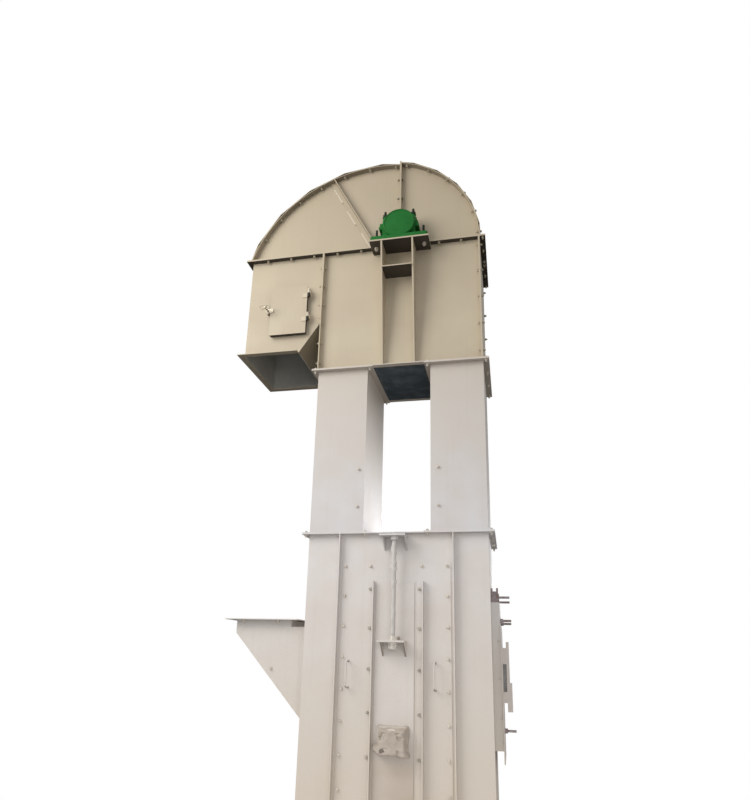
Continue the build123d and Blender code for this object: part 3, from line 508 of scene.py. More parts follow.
# the screw nuts are near-white zinc, partly painted light: they stand lit below the dark bracket
foot_nut = hex_bolt(0.0585, stud=0.004)
collar_nut = hex_bolt(0.040)
lit_near_white_zinc = thin_zinc("zinc_plate_with_painted_light", "#E6E0D6", "#CFC9C0")
screw_y, slide_y = 0.4565, -0.380
nut_sites = [((0, -screw_y, 1.690), DOWN, RIGHT)]
repeat(foot_nut, "screw_foot_nuts", mirrored(nut_sites), "take_up", lit_near_white_zinc, twirl=8)
nut_sites = [((0, -screw_y, 1.704), UP, RIGHT)]
repeat(collar_nut, "screw_collar_nuts", mirrored(nut_sites), "take_up", lit_near_white_zinc, twirl=8)
slide_bolts = [((0.029, slide_y, 1.725), FRONT, RIGHT)]
repeat(head_12, "slide_plate_bolts", mirrored(slide_bolts), "take_up", worn_zinc)
bracket_stitches = [((x, slide_y, 1.612 + 0.065), FRONT, UP) for x in (-0.0935, 0.0935)]
repeat(bead, "take_up_bracket_welds", mirrored(bracket_stitches), "take_up", casing_enamel)


# Film sleeves on the screws: white polythene wound round the thread to keep paint off it.
# It is creased all along and torn near the top.
def white_film(name, colour, shade):
    """Thin film with creases about 33 mm apart and clouds twice as wide."""
    film, shader, place, *_ = two_tone(name, shade, colour, 14.0, 4.0)
    creases = add_node(
        film, "ShaderNodeTexVoronoi", {"Vector": place, "Scale": 30.0}, feature="DISTANCE_TO_EDGE"
    ).outputs["Distance"]
    fold = add_node(
        film, "ShaderNodeMapRange", {"Value": creases, "From Max": 0.25}
    ).outputs["Result"]
    lift = add_node(
        film, "ShaderNodeBump", {"Height": fold, "Strength": 0.3, "Distance": 0.003}
    ).outputs["Normal"]
    film.node_tree.links.new(lift, shader.inputs["Normal"])
    shader.inputs["Roughness"].default_value = 0.42
    return film


def crease(piece, size, strength, kind="CLOUDS"):
    """Pushes the surface in and out along its normals by a cloud or crackle of a real size."""
    pattern = bpy.data.textures.new(f"{kind.lower()}_{size}", kind)
    pattern.noise_scale = size
    if kind == "VORONOI":
        pattern.distance_metric = "DISTANCE"
    bpy.context.view_layer.objects.active = piece
    push = piece.modifiers.new("crease", "DISPLACE")
    push.texture = pattern
    push.texture_coords = "GLOBAL"
    push.strength = strength
    push.mid_level = 0.5
    bpy.ops.object.modifier_apply(modifier="crease")


def thicken(piece, thickness):
    """Gives a film or a paper its own thickness, on the inner side."""
    layer = piece.modifiers.new("thickness", "SOLIDIFY")
    layer.thickness = thickness
    layer.offset = -1
    bpy.context.view_layer.objects.active = piece
    bpy.ops.object.modifier_apply(modifier="thickness")


rod_film = white_film("white_polythene_film", "#D0CCC7", "#BBB6AF")
for side, name in ((-1, "front_screw_sleeve"), (1, "back_screw_sleeve")):
    sleeve = start_solid(
        "cylinder",
        vertices=24,
        radius=0.0185,
        depth=0.712,
        location=(0, side * screw_y, 2.103),
        end_fill_type="NOTHING",
    )
    pick_edges(sleeve, lambda middle, way: abs(way.z) > 0.9)
    bpy.ops.mesh.subdivide(number_cuts=110)
    for z, reach in ((2.165, 0.010), (2.262, 0.013), (2.300, 0.008), (2.382, 0.007)):
        pick_faces(sleeve, lambda middle, way: abs(middle.z - z) < 0.011 and way.x < -0.8)
        bpy.ops.transform.translate(value=(-reach, 0, -0.006))
        pick_faces(sleeve, lambda middle, way: abs(middle.z - z + 0.02) < 0.007 and way.x > 0.85)
        bpy.ops.transform.translate(value=(0.7 * reach, 0, -0.004))
    bpy.ops.object.mode_set(mode="OBJECT")
    crease(sleeve, 0.05, 0.006)
    crease(sleeve, 0.014, 0.004)
    thicken(sleeve, 0.0004)
    settle(sleeve, name)
    bpy.ops.object.shade_smooth_by_angle(angle=math.radians(40))
    sleeve.data.materials.append(rod_film)
    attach(sleeve, "casing")
    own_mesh(sleeve)


# Wraps over the tail bearings: brown paper drawn over each block against the spray, with
# its edges tucked under. It is stiff, folded flat across the front, and knotted at a corner.
wrap_paper = white_film("sprayed_wrapping_paper", "#C4B9AD", "#A2968A")
for side, name in ((-1, "front_bearing_wrap"), (1, "back_bearing_wrap")):
    wrap = start_solid(
        "cube", size=1, location=(0.002, side * 0.4265, 1.006), scale=(0.232, 0.095, 0.204)
    )
    pick_faces(wrap, lambda middle, way: way.y * side < -0.9)
    bpy.ops.mesh.delete(type="FACE")
    # the front is smaller than the back: the paper runs in over the block's shoulders
    pick_faces(wrap, lambda middle, way: way.y * side > 0.9)
    bpy.ops.transform.resize(value=(0.79, 1, 0.76), center_override=(0.002, side * 0.474, 0.975))
    pick_edges(wrap, lambda middle, way: abs(way.y) > 0.5 or abs(abs(middle.y) - 0.474) < 0.001)
    bpy.ops.mesh.bevel(offset=0.007, segments=2, profile=0.6)
    bpy.ops.mesh.select_all(action="SELECT")
    bpy.ops.mesh.subdivide(number_cuts=20)
    # knots at the upper corners, each with a dent under it
    for knot_x, knot_z, reach in ((-0.078, 1.052, 0.012), (0.066, 1.054, 0.010)):
        for spot_x, spot_z, spread, push in (
            (knot_x, knot_z, 0.012, reach),
            (0.86 * knot_x, knot_z - 0.020, 0.009, -0.012),
            (0.72 * knot_x, knot_z + 0.006, 0.008, -0.010),
        ):
            pick_faces(
                wrap,
                lambda middle, way: math.hypot(middle.x - spot_x, middle.z - spot_z) < spread
                and abs(middle.y) > 0.44,
            )
            bpy.ops.transform.translate(value=(0, side * push, 0))
    # the left side bulges, and its foot runs out in a pointed tail
    pick_faces(wrap, lambda middle, way: middle.x < -0.086 and 0.935 < middle.z < 0.975)
    bpy.ops.transform.translate(value=(-0.018, 0, -0.004))
    pick_faces(wrap, lambda middle, way: middle.x < -0.105 and 0.942 < middle.z < 0.966)
    bpy.ops.transform.translate(value=(-0.020, 0, 0.006))
    # a dark fold runs down and outward above the lower left corner
    for spot_x, spot_z in ((-0.046, 0.955), (-0.056, 0.949), (-0.066, 0.942), (-0.076, 0.936)):
        pick_faces(
            wrap,
            lambda middle, way: math.hypot(middle.x - spot_x, middle.z - spot_z) < 0.0075
            and abs(middle.y) > 0.45,
        )
        bpy.ops.transform.translate(value=(0, -side * 0.013, 0))
    # the lower right corner is pulled down over the edge
    pick_faces(wrap, lambda middle, way: middle.x > 0.055 and middle.z < 0.932)
    bpy.ops.transform.translate(value=(0.006, side * 0.003, -0.009))
    pick_faces(wrap, lambda middle, way: abs(middle.x - 0.052) < 0.006 and middle.z < 0.945)
    bpy.ops.transform.translate(value=(0, -side * 0.010, 0))
    bpy.ops.object.mode_set(mode="OBJECT")
    crease(wrap, 0.065, 0.013, "VORONOI")
    crease(wrap, 0.024, 0.005, "VORONOI")
    crease(wrap, 0.050, 0.007)
    thicken(wrap, 0.0005)
    settle(wrap, name)
    bpy.ops.object.shade_smooth_by_angle(angle=math.radians(22))
    wrap.data.materials.append(wrap_paper)
    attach(wrap, "take_up")
finish_nodes(casing_enamel, "tail_bearings")


# Tail pulley, head pulley, belt and buckets run inside the casing. Drums are turned steel,
# the belt is black rubber on fabric plies with dust in 42 mm clouds, and the buckets are
# pressed from plain sheet.
drum_steel = mill_scale("turned_drum_steel", "#5A5855", "#7C7A76")
finish_nodes(drum_steel, "tail_pulley", "head_pulley")
finish_nodes(rusty_steel("pressed_bucket_steel", "#7B7A78", "#66564B"), "buckets")
belt_rubber, belt_shader, *_ = two_tone("plied_belt_rubber", "#1E1D1C", "#3A3734", 24.0, 5.0)
belt_shader.inputs["Roughness"].default_value = 0.75
finish_nodes(belt_rubber, "belt")


# Head casing: the same plate and spray as the legs, in a warmer tan coat. Angles are
# bolted together down the corners with M12 bolts at a pitch of 197 mm on the left and
# 261 mm on the right.
# faces that look down go almost to black here, as painted shade under the flanges and the bearing
# shelf
head_enamel = sprayed_enamel(
    "tan_polyurethane_enamel", "#C3B7A0", "#B5A890", (4.4, 5.9), "#B9AA96", "#2C2722", under=0.96
)
finish_nodes(head_enamel, "head_face_walls", "head_side_walls", "head_joint_flanges")
finish_nodes(head_enamel, "head_top_flange", "hood_bottom_flange")
tan_zinc = thin_zinc("zinc_under_tan_enamel", "#B3A78F", "#8F8777")
corner_heads, corner_nuts = [], []
for step in range(6):
    z = 4.075 + 0.197 * step
    corner_heads.append(((-0.717, -0.391, z), RIGHT, UP))
    corner_nuts.append(((-0.733 if z > 4.518 else -0.725, -0.391, z), LEFT, UP))
for z in (5.129, 4.867, 4.606, 4.344, 4.083):
    corner_heads.append(((0.709, -0.391, z), LEFT, UP))
    corner_nuts.append(((0.725, -0.391, z), RIGHT, UP))
repeat(head_12, "head_corner_bolts", mirrored(corner_heads), "casing", tan_zinc, twirl=33)
repeat(nut_12, "head_corner_nuts", mirrored(corner_nuts), "casing", tan_zinc, twirl=27)


# Discharge box: tan outside. Inside it was never sprayed, so the spout shows grey steel
# that the product has polished and that lies in deep shade. The grey is also kept darker
# than the enamel as painted shade of the spout's inside.
def lined_box(outside):
    """The head's enamel outside, and a grey on the faces inside the walls: bare steel and painted
    shade.
    """
    box = outside.copy()
    box.name = "tan_enamel_and_shaded_bare_lining"
    shader = box.node_tree.nodes["Principled BSDF"]
    coat = shader.inputs["Base Color"].links[0].from_socket
    place = add_node(box, "ShaderNodeTexCoord").outputs["Object"]
    axes = add_node(box, "ShaderNodeSeparateXYZ", {0: place})
    depth = add_node(box, "ShaderNodeMath", {0: axes.outputs["Y"]}, operation="ABSOLUTE")
    between = add_node(
        box, "ShaderNodeMath", {0: depth.outputs[0], 1: 0.3615}, operation="LESS_THAN"
    ).outputs[0]
    past_wall = add_node(
        box, "ShaderNodeMath", {0: axes.outputs["X"], 1: -1.447}, operation="GREATER_THAN"
    ).outputs[0]
    # the chute's outer face looks down and to the right, and is sprayed
    facing = add_node(
        box,
        "ShaderNodeVectorMath",
        {0: add_node(box, "ShaderNodeNewGeometry").outputs["Normal"], 1: (0.83, 0.0, -0.56)},
        operation="DOT_PRODUCT",
    ).outputs["Value"]
    inside = add_node(
        box, "ShaderNodeMath", {0: facing, 1: 0.9}, operation="LESS_THAN"
    ).outputs[0]
    for limit in (between, past_wall):
        inside = add_node(
            box, "ShaderNodeMath", {0: inside, 1: limit}, operation="MULTIPLY"
        ).outputs[0]
    # the grey inside is bare steel and partly painted shade
    stains = add_node(
        box, "ShaderNodeTexNoise", {"Vector": place, "Scale": 7.0, "Detail": 5.0}
    ).outputs["Fac"]
    bare = add_node(
        box,
        "ShaderNodeMix",
        {0: stains, 6: linear("#999893"), 7: linear("#B5B4AD")},
        data_type="RGBA",
    ).outputs[2]
    skin = add_node(
        box, "ShaderNodeMix", {0: inside, 6: coat, 7: bare}, data_type="RGBA"
    ).outputs[2]
    box.node_tree.links.new(skin, shader.inputs["Base Color"])
    return box


finish_nodes(lined_box(head_enamel), "discharge_box")
lip_enamel = sprayed_enamel(
    "tan_enamel_on_lip", "#C4B8A2", "#BBAE96", (4.3, 5.8), "#BDAE9A", "#4A4138", under=0.6
)
finish_nodes(lip_enamel, "spout_flange")
box_stitches = []
for step in range(4):
    box_stitches.append(((-1.36 + 0.13 * step, weld_y, 4.2165), (0, -0.7, 0.7), RIGHT))
repeat(bead, "spout_flange_welds", mirrored(box_stitches), "casing", head_enamel)


# Head door: a flat pressed panel on a welded collar, sealed by a sponge cord and hung on
# two lift-off hinges.
finish_nodes(head_enamel, "door_collar", "door_panel")
pale_enamel = sprayed_enamel(
    "pale_enamel_on_small_parts", "#DDD3C0", "#DDD3C0", (4.0, 5.0), "#D6CBB8", "#5A5044"
)
# the black seal also stands in partly for the shade in the band along the door's right and lower
# edges
seal_rubber, seal_shader, *_ = two_tone("black_sponge_rubber", "#35302A", "#4A443C", 240.0, 2.0)
seal_shader.inputs["Roughness"].default_value = 0.9
seal_y = -0.3862
upright, level_run = (0.017, 0.042, 0.478), (0.306, 0.042, 0.018)
seal = start_solid("cube", size=1, location=(-0.876, seal_y, 4.630), scale=upright)
bpy.ops.mesh.primitive_cube_add(size=1, location=(-1.200, seal_y, 4.630), scale=upright)
for z in (4.4000, 4.8600):
    bpy.ops.mesh.primitive_cube_add(size=1, location=(-1.038, seal_y, z), scale=level_run)
mount(seal, "door_seal", seal_rubber, "casing")

# Hinges: the pale upper knuckle is on a lug of the casing. The lower knuckle is on the door:
# its strap was sprayed with the panel, and the barrel's near-black is bare steel and painted shade.
finish_nodes(pale_enamel, "door_mountings")
hinge_finish = head_enamel.copy()
hinge_finish.name = "tan_enamel_and_shaded_barrel"
hinge_shader = hinge_finish.node_tree.nodes["Principled BSDF"]
hinge_place = add_node(hinge_finish, "ShaderNodeTexCoord").outputs["Object"]
hinge_across = add_node(hinge_finish, "ShaderNodeSeparateXYZ", {0: hinge_place}).outputs["X"]
on_barrel = add_node(
    hinge_finish, "ShaderNodeMath", {0: hinge_across, 1: -0.861}, operation="GREATER_THAN"
).outputs[0]
# the barrel's near-black is partly painted shade below the pale upper knuckle
barrel_colour = add_node(
    hinge_finish,
    "ShaderNodeMix",
    {0: on_barrel, 6: linear("#CDC1AA"), 7: linear("#302A22")},
    data_type="RGBA",
).outputs[2]
hinge_finish.node_tree.links.new(barrel_colour, hinge_shader.inputs["Base Color"])
finish_nodes(hinge_finish, "door_hinges")
hinge_pin = (-0.846, -0.4195)
for step, z in enumerate((4.790, 4.545)):
    for high, name, body, finish in (
        (z + 0.042, f"upper_knuckle_cap_{step}", "casing", pale_enamel),
        (z - 0.001, f"lower_knuckle_cap_{step}", "head_door", hinge_finish),
    ):
        cap_place = (*hinge_pin, high - 0.005)
        cap = start_solid("cylinder", vertices=28, radius=0.0125, depth=0.010, location=cap_place)
        pick_edges(cap, lambda middle, way: abs(way.z) < 0.1)
        bpy.ops.mesh.bevel(offset=0.0015, segments=2)
        mount(cap, name, finish, body)


# Door latch: a hand screw with a ring on either side of its hub, through a tab on the
# door. All is barrel-plated zinc, still bright between dull patches of 17 mm.
zinc_plate, zinc_shader, _, patches, _ = two_tone(
    "bright_zinc_plate", "#8F8676", "#D2C8B4", 60.0, 3.0
)
rough = add_node(
    zinc_plate, "ShaderNodeMapRange", {"Value": patches, "To Min": 0.5, "To Max": 0.25}
).outputs["Result"]
zinc_plate.node_tree.links.new(rough, zinc_shader.inputs["Roughness"])
zinc_shader.inputs["Metallic"].default_value = 0.35
latch_x, latch_z, screw_hub_y = -1.238, 4.640, -0.486
lying = (math.pi / 2, 0, 0)
latch = start_solid(
    "cube", size=1, location=(-1.221, -0.4165, 4.640), scale=(0.074, 0.006, 0.040)
)
pick_edges(latch, lambda middle, way: abs(way.y) > 0.9 and middle.x < -1.24)
bpy.ops.mesh.bevel(offset=0.012, segments=4)
bpy.ops.mesh.primitive_cylinder_add(
    vertices=24, radius=0.007, depth=0.118, location=(latch_x, -0.438, latch_z), rotation=lying
)
bpy.ops.mesh.primitive_cylinder_add(
    vertices=32,
    radius=0.013,
    depth=0.022,
    location=(latch_x, screw_hub_y, latch_z),
    rotation=lying,
)
pick_edges(latch, lambda middle, way: middle.y < -0.49 and abs(way.y) < 0.1)
bpy.ops.mesh.bevel(offset=0.003, segments=2)
bpy.ops.mesh.primitive_cylinder_add(
    vertices=6, radius=0.0125, depth=0.009, location=(latch_x, -0.424, latch_z), rotation=lying
)
for reach, ring_radius in ((-0.031, 0.0235), (0.027, 0.0185)):
    bpy.ops.mesh.primitive_torus_add(
        major_segments=36,
        minor_segments=12,
        major_radius=ring_radius,
        minor_radius=0.0042,
        location=(latch_x + reach, screw_hub_y, latch_z),
        rotation=lying,
    )
settle(latch, "door_hand_screw")
bpy.ops.object.shade_smooth_by_angle(angle=math.radians(40))
latch.data.materials.append(zinc_plate)
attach(latch, "head_door")
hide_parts("door_latch")


# Hood flange bolts: M12 at a pitch of 230 mm along the front, and at the ends.
rows = (-1.286, -1.055, -0.825, -0.596, -0.366, 0.360, 0.560, 0.752)
flange_spots = [(x, flange_line) for x in rows]
flange_spots += [(x, y) for x in (-1.475, 0.750) for y in (-0.20, -0.03)]
flange_heads = [((x, y, 5.223), UP, RIGHT) for x, y in flange_spots]
flange_nuts = [((x, y, 5.207), DOWN, RIGHT) for x, y in flange_spots]
repeat(head_12, "hood_flange_bolts", mirrored(flange_heads), "casing", tan_zinc, twirl=13)
repeat(nut_12, "hood_flange_nuts", mirrored(flange_nuts), "casing", tan_zinc, twirl=7)

# Pedestals: two tapered ribs of 14 mm plate, a cross plate and a 16 mm shelf, welded to
# each other and stitched to the head. The shelf lies a little below the hood's flange.
shelf_under = 5.158
for side, name in ((-1, "front_pedestal"), (1, "back_pedestal")):
    pedestal = start_solid(
        "cube", size=1, location=(0.0165, side * 0.4675, 5.166), scale=(0.537, 0.205, 0.016)
    )
    for x in (-0.140, 0.140):
        bpy.ops.mesh.primitive_cube_add(
            size=1, location=(x, side * 0.38725, 4.5855), scale=(0.014, 0.0445, 1.145)
        )
    pick_edges(
        pedestal,
        lambda middle, way: abs(way.x) > 0.9
        and abs(middle.z - shelf_under) < 0.0001
        and abs(abs(middle.y) - 0.4095) < 0.0001,
    )
    bpy.ops.transform.translate(value=(0, side * 0.1595, 0))
    bpy.ops.mesh.primitive_cube_add(
        size=1, location=(0, side * 0.4585, 4.901), scale=(0.266, 0.187, 0.012)
    )
    pick_edges(pedestal, lambda middle, way: abs(way.x) > 0.9 and abs(middle.y) > 0.55)
    bpy.ops.mesh.bevel(offset=0.0015, segments=2)
    mount(pedestal, name, head_enamel, "casing")
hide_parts("bearing_pedestals")
pedestal_stitches = []
for x in (-0.1475, -0.1325, 0.1325, 0.1475):
    for step in range(6):
        pedestal_stitches.append(((x, weld_y, 4.07 + 0.205 * step), FRONT, UP))
repeat(bead, "pedestal_welds", mirrored(pedestal_stitches), "casing", head_enamel)
nut_24 = hex_bolt(0.030, stud=0.010)
bearing_y = 0.4675
shelf_nuts = [((x, -bearing_y, shelf_under), DOWN, RIGHT) for x in (-0.205, 0.235)]
repeat(nut_24, "pedestal_shelf_nuts", mirrored(shelf_nuts), "casing", worn_zinc, twirl=15)


# Head bearings: split cast iron blocks with a round end cover, four cap bolts on tall
# bosses and a bolt in each foot. The green enamel is thick over a casting with 4 mm sand.
bearing_green, green_shader, green_place, *_ = two_tone(
    "green_enamel_on_cast_iron", "#195C25", "#277533", 14.0, 4.0
)
green_shader.inputs["Roughness"].default_value = 0.5
green_shader.inputs["Specular IOR Level"].default_value = 0.12
sand = add_node(
    bearing_green, "ShaderNodeTexNoise", {"Vector": green_place, "Scale": 260.0, "Detail": 2.0}
).outputs["Fac"]
skin = add_node(
    bearing_green, "ShaderNodeBump", {"Height": sand, "Strength": 0.2, "Distance": 0.001}
).outputs["Normal"]
bearing_green.node_tree.links.new(skin, green_shader.inputs["Normal"])
cap_bolt = hex_bolt(0.040, stud=0.034)
foot_bolt = hex_bolt(0.036, stud=0.068)
shelf_top, shaft_z = 5.174, 5.334
foot_places, cap_places, cap_reaches = (-0.205, 0.229), (-0.119, 0.139), (-0.038, 0.038)
for side, name in ((-1, "front_head_bearing"), (1, "back_head_bearing")):
    y = side * bearing_y
    block = start_solid(
        "cube", size=1, location=(0.015, side * 0.484, 5.193), scale=(0.524, 0.170, 0.038)
    )
    pick_edges(block, lambda middle, way: abs(way.z) > 0.9)
    bpy.ops.mesh.bevel(offset=0.022, segments=5)
    pick_edges(block, lambda middle, way: middle.z > 5.2119 and abs(way.z) < 0.1)
    bpy.ops.mesh.bevel(offset=0.006, segments=3)
    # the foot slopes in from the bolt pads to the neck under the parting flange
    for z, size in ((5.258, (0.300, 0.130, 0.092)), (5.226, (0.470, 0.120, 0.030))):
        bpy.ops.mesh.primitive_cube_add(size=1, location=(0.010, y, z), scale=size)
    pick_faces(block, lambda middle, way: way.z > 0.9 and abs(middle.z - 5.241) < 0.0001)
    bpy.ops.transform.resize(value=(0.72, 0.9, 1), center_override=(0.010, y, 5.241))
    for x in foot_places:
        bpy.ops.mesh.primitive_cone_add(
            vertices=28, radius1=0.040, radius2=0.030, depth=0.040, location=(x, y, 5.230)
        )
    for z, size in ((5.3190, (0.366, 0.130, 0.030)), (5.3510, (0.350, 0.126, 0.030))):
        bpy.ops.mesh.primitive_cube_add(size=1, location=(0.010, y, z), scale=size)
    pick_edges(
        block,
        lambda middle, way: abs(way.y) > 0.9 and abs(middle.x - 0.01) > 0.17 and middle.z > 5.30,
    )
    bpy.ops.mesh.bevel(offset=0.007, segments=2)
    bpy.ops.mesh.primitive_cylinder_add(
        vertices=96, radius=0.132, depth=0.130, location=(0.010, y, shaft_z), rotation=lying
    )
    for x in cap_places:
        for reach in cap_reaches:
            bpy.ops.mesh.primitive_cone_add(
                vertices=28,
                radius1=0.030,
                radius2=0.0215,
                depth=0.100,
                location=(x, y + reach, 5.390),
            )
    face_y = y + side * 0.082
    bpy.ops.mesh.primitive_cylinder_add(
        vertices=128, radius=0.143, depth=0.034, location=(0.016, face_y, shaft_z), rotation=lying
    )
    outer = face_y + side * 0.017
    pick_edges(block, lambda middle, way: abs(middle.y - outer) < 0.0005 and abs(way.y) < 0.1)
    bpy.ops.mesh.bevel(offset=0.005, segments=3)
    pick_faces(block, lambda middle, way: abs(middle.y - outer) < 0.0005 and way.y * side > 0.9)
    bpy.ops.mesh.inset(thickness=0.012)
    bpy.ops.mesh.inset(thickness=0.003, depth=-0.003)
    bpy.ops.mesh.inset(thickness=0.004)
    bpy.ops.mesh.inset(thickness=0.003, depth=0.003)
    if side > 0:
        bpy.ops.mesh.inset(thickness=0.030)
        bpy.ops.mesh.inset(thickness=0.004, depth=0.006)
    bpy.ops.mesh.select_all(action="SELECT")
    bpy.ops.mesh.bisect(plane_co=(0, 0, shelf_top), plane_no=DOWN, clear_outer=True)
    settle(block, name)
    bpy.ops.object.shade_smooth_by_angle(angle=math.radians(35))
    block.data.materials.append(bearing_green)
    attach(block, "casing")
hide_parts("head_bearings")
cap_spots = [(x, reach - bearing_y) for x in cap_places for reach in cap_reaches]
cap_sites = [((x, y, 5.438), UP, RIGHT) for x, y in cap_spots]
foot_sites = [((x, -bearing_y, 5.250), UP, RIGHT) for x in foot_places]
bolt_steel = mill_scale("black_bolt_steel", "#15200F", "#26331C")
repeat(cap_bolt, "bearing_cap_bolts", mirrored(cap_sites), "casing", bolt_steel, twirl=25)
repeat(foot_bolt, "bearing_foot_bolts", mirrored(foot_sites), "casing", bolt_steel, twirl=35)


# Hood: two folded covers over flat end plates, in the head's tan enamel. M12 bolts hold
# the covers to the rims every 11 or 14 degrees, and the halves to each other.
finish_nodes(head_enamel, "hood_plates", "hood_covers", "hood_joint_flanges")
finish_nodes(lip_enamel, "hood_rims")
rim_nuts, rim_heads = [], []
for centre_x, centre_z, radius, first, step, count, tangent, fold in (
    (-0.210, 4.8353, 1.2968, 82.9, 11.38, 7, 80.70, 16.44),
    (-0.2276, 5.215, 0.9526, 3.3, 13.82, 6, 0.0, 15.24),
):
    for number in range(count):
        angle = first + step * number
        off = (angle - tangent + fold / 2) % fold - fold / 2
        ray = (math.cos(math.radians(angle)), 0, math.sin(math.radians(angle)))
        flat = math.radians(angle - off)
        inner = radius - 0.006
        outer = (radius + 0.0055) / math.cos(math.radians(off))
        inner_place = (centre_x + inner * ray[0], flange_line, centre_z + inner * ray[2])
        outer_place = (centre_x + outer * ray[0], flange_line, centre_z + outer * ray[2])
        rim_nuts.append((inner_place, (-ray[0], 0, -ray[2]), (0, 1, 0)))
        rim_heads.append((outer_place, (math.cos(flat), 0, math.sin(flat)), (0, 1, 0)))
repeat(nut_12, "hood_rim_nuts", mirrored(rim_nuts), "casing", tan_zinc, twirl=9)
repeat(head_12, "hood_rim_bolts", mirrored(rim_heads), "casing", tan_zinc, twirl=9)
joint_levels = (5.953, 5.739)
joint_heads = [((0.008, flange_line, z), RIGHT, UP) for z in joint_levels]
joint_nuts = [((-0.008, flange_line, z), LEFT, UP) for z in joint_levels]
dark_zinc = thin_zinc("dull_zinc_plate", "#6E6656", "#857D6C")
repeat(head_12, "hood_joint_bolts", mirrored(joint_heads), "casing", dark_zinc, twirl=9)
repeat(nut_12, "hood_joint_nuts", mirrored(joint_nuts), "casing", dark_zinc, twirl=9)

# Diagonal angle: 50 x 50 mm, from the bearing shelf up to the left rim, with its flat leg
# on the hood's plate. Three long stitch welds, brushed bright, hold the flat leg's edge.
lean = -0.4893
for side, name in ((-1, "front_hood_angle"), (1, "back_hood_angle")):
    angle_bar = start_solid(
        "cube",
        size=1,
        location=(-0.4273, side * 0.390, 5.6138),
        rotation=(0, lean, 0),
        scale=(0.008, 0.050, 1.05),
    )
    bpy.ops.mesh.primitive_cube_add(
        size=1,
        location=(-0.4459, side * 0.368, 5.6040),
        rotation=(0, lean, 0),
        scale=(0.050, 0.006, 1.05),
    )
    for cut, out in (((0, 0, 5.1745), DOWN), ((-0.6549, 0, 6.0461), (-0.345, 0, 0.939))):
        bpy.ops.mesh.select_all(action="SELECT")
        bpy.ops.mesh.bisect(plane_co=cut, plane_no=out, use_fill=True, clear_outer=True)
    mount(angle_bar, name, head_enamel, "casing")
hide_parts("hood_ribs")
long_bead = start_solid(
    "cylinder", vertices=8, radius=0.008, depth=0.19, rotation=(0, math.pi / 2, 0)
)
pick_edges(long_bead, lambda middle, way: abs(way.x) > 0.9)
bpy.ops.mesh.subdivide(number_cuts=28)
for ring in range(1, 29, 2):
    at = -0.095 + 0.19 * ring / 29
    pick_edges(long_bead, lambda middle, way: abs(middle.x - at) < 0.0015 and abs(way.x) < 0.1)
    bpy.ops.transform.resize(value=(1, 0.84, 0.84), center_override=(at, 0, 0))
settle(long_bead, "long_stitch_weld")
rib_stitches = []
for x, z in ((-0.3310, 5.3340), (-0.4815, 5.6055), (-0.6190, 5.8750)):
    rib_stitches.append(((x, -0.3665, z), FRONT, (-0.470, 0, 0.883)))
repeat(long_bead, "hood_rib_welds", mirrored(rib_stitches), "casing", pale_enamel)
patterns = (bead, long_bead, collar, head_12, nut_12, long_nut, screw_8, nut_18, nut_24)
for pattern in (*patterns, foot_nut, collar_nut, cap_bolt, foot_bolt):
    bpy.data.objects.remove(pattern)


# Studio: a plain pale floor, a tall soft window of light from the left, a low fill from the
# right, a small light behind the gap between the legs, and a sky that is dim low down.
bpy.ops.object.select_all(action="DESELECT")
bpy.ops.mesh.primitive_plane_add(size=7, location=(0, -2.0, -0.001))
floor = bpy.context.object
floor.name = "studio_floor"
pale_floor = bpy.data.materials.new("pale_studio_floor")
pale_floor.use_nodes = True
floor_shader = pale_floor.node_tree.nodes["Principled BSDF"]
floor_shader.inputs["Base Color"].default_value = linear("#EDECEA")
floor_shader.inputs["Roughness"].default_value = 0.9
floor.data.materials.append(pale_floor)

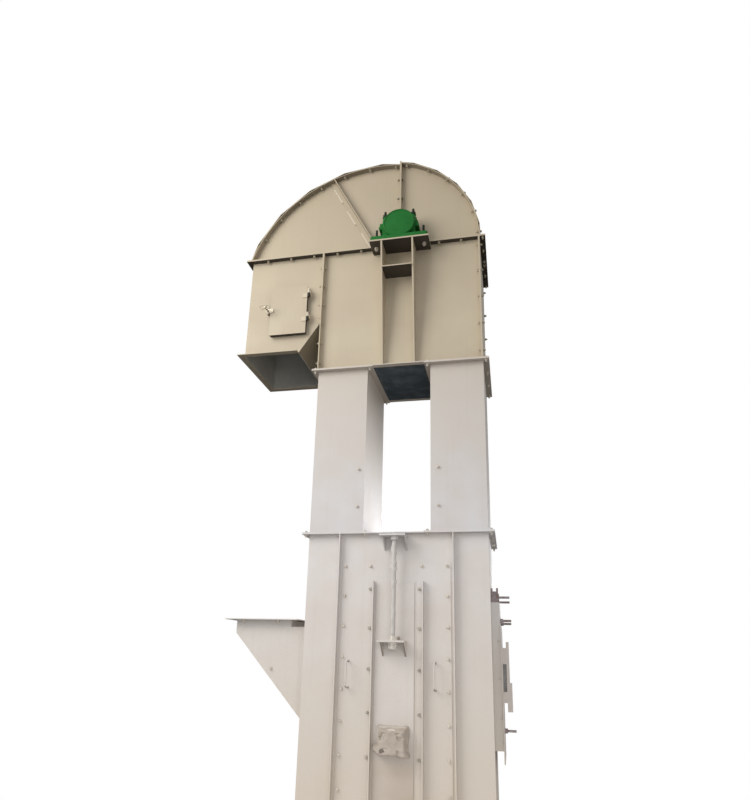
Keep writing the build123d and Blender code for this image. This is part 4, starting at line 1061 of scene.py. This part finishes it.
sky = bpy.data.worlds.new("soft_sky")
bpy.context.scene.world = sky
sky.use_nodes = True
world_nodes, world_links = sky.node_tree.nodes, sky.node_tree.links
glow = world_nodes["Background"]
ray_place = world_nodes.new("ShaderNodeTexCoord")
ray_axes = world_nodes.new("ShaderNodeSeparateXYZ")
world_links.new(ray_place.outputs["Generated"], ray_axes.inputs[0])
height = world_nodes.new("ShaderNodeMapRange")
height.inputs["From Min"].default_value = -0.3
height.inputs["From Max"].default_value = 0.3
height.inputs["To Min"].default_value = 0.02
height.inputs["To Max"].default_value = 0.68
world_links.new(ray_axes.outputs["Z"], height.inputs["Value"])
seen = world_nodes.new("ShaderNodeLightPath")
backdrop = world_nodes.new("ShaderNodeMix")
world_links.new(seen.outputs["Is Camera Ray"], backdrop.inputs[0])
world_links.new(height.outputs["Result"], backdrop.inputs[2])
backdrop.inputs[3].default_value = 1.0
world_links.new(backdrop.outputs[0], glow.inputs["Strength"])
glow.inputs["Color"].default_value = (1.0, 1.0, 1.0, 1.0)

warm, white = (1.0, 0.985, 0.96), (1.0, 1.0, 1.0)
for name, place, size, energy, colour, spread, aim in (
    ("window_light", (-4.2, -4.0, 6.0), (4.0, 4.5), 284, warm, 180, (0.0, 0.0, 4.6)),
    ("low_fill_light", (2.2, -6.8, 2.0), (4.0, 4.0), 75, white, 180, (0.0, 0.0, 1.4)),
    ("light_behind_the_legs", (1.3, 3.0, 2.5), (1.2, 1.2), 8.5, white, 34, (-0.25, 0.0, 2.75)),
):
    bpy.ops.object.light_add(type="AREA", location=place)
    lamp = bpy.context.object
    lamp.name = name
    lamp.data.shape = "RECTANGLE"
    lamp.data.size, lamp.data.size_y = size
    lamp.data.energy = energy
    lamp.data.color = colour
    lamp.data.spread = math.radians(spread)
    toward = Vector(aim) - Vector(place)
    lamp.rotation_euler = toward.to_track_quat("-Z", "Y").to_euler()
bpy.context.scene.view_settings.view_transform = "Standard"

# Camera: stands 1.6 m above the ground, in front and to the right, looking up at the head.
yaw, pitch, roll = 0.2168, 0.2953, 0.0256
ahead = Vector((-math.sin(yaw) * math.cos(pitch), math.cos(yaw) * math.cos(pitch), math.sin(pitch)))
level = Vector((math.cos(yaw), math.sin(yaw), 0))
above = level.cross(ahead)
across = math.cos(roll) * level + math.sin(roll) * above
upward = -math.sin(roll) * level + math.cos(roll) * above
lens = bpy.data.cameras.new("photo_view")
lens.sensor_fit = "HORIZONTAL"
lens.sensor_width = 36
lens.lens = 29.52
lens.shift_y = 0.09
camera = bpy.data.objects.new("photo_view", lens)
turned = Matrix((across, upward, -ahead)).transposed().to_4x4()
camera.matrix_world = Matrix.Translation((0.865, -5.148, 1.6)) @ turned
bpy.context.collection.objects.link(camera)
bpy.context.scene.camera = camera
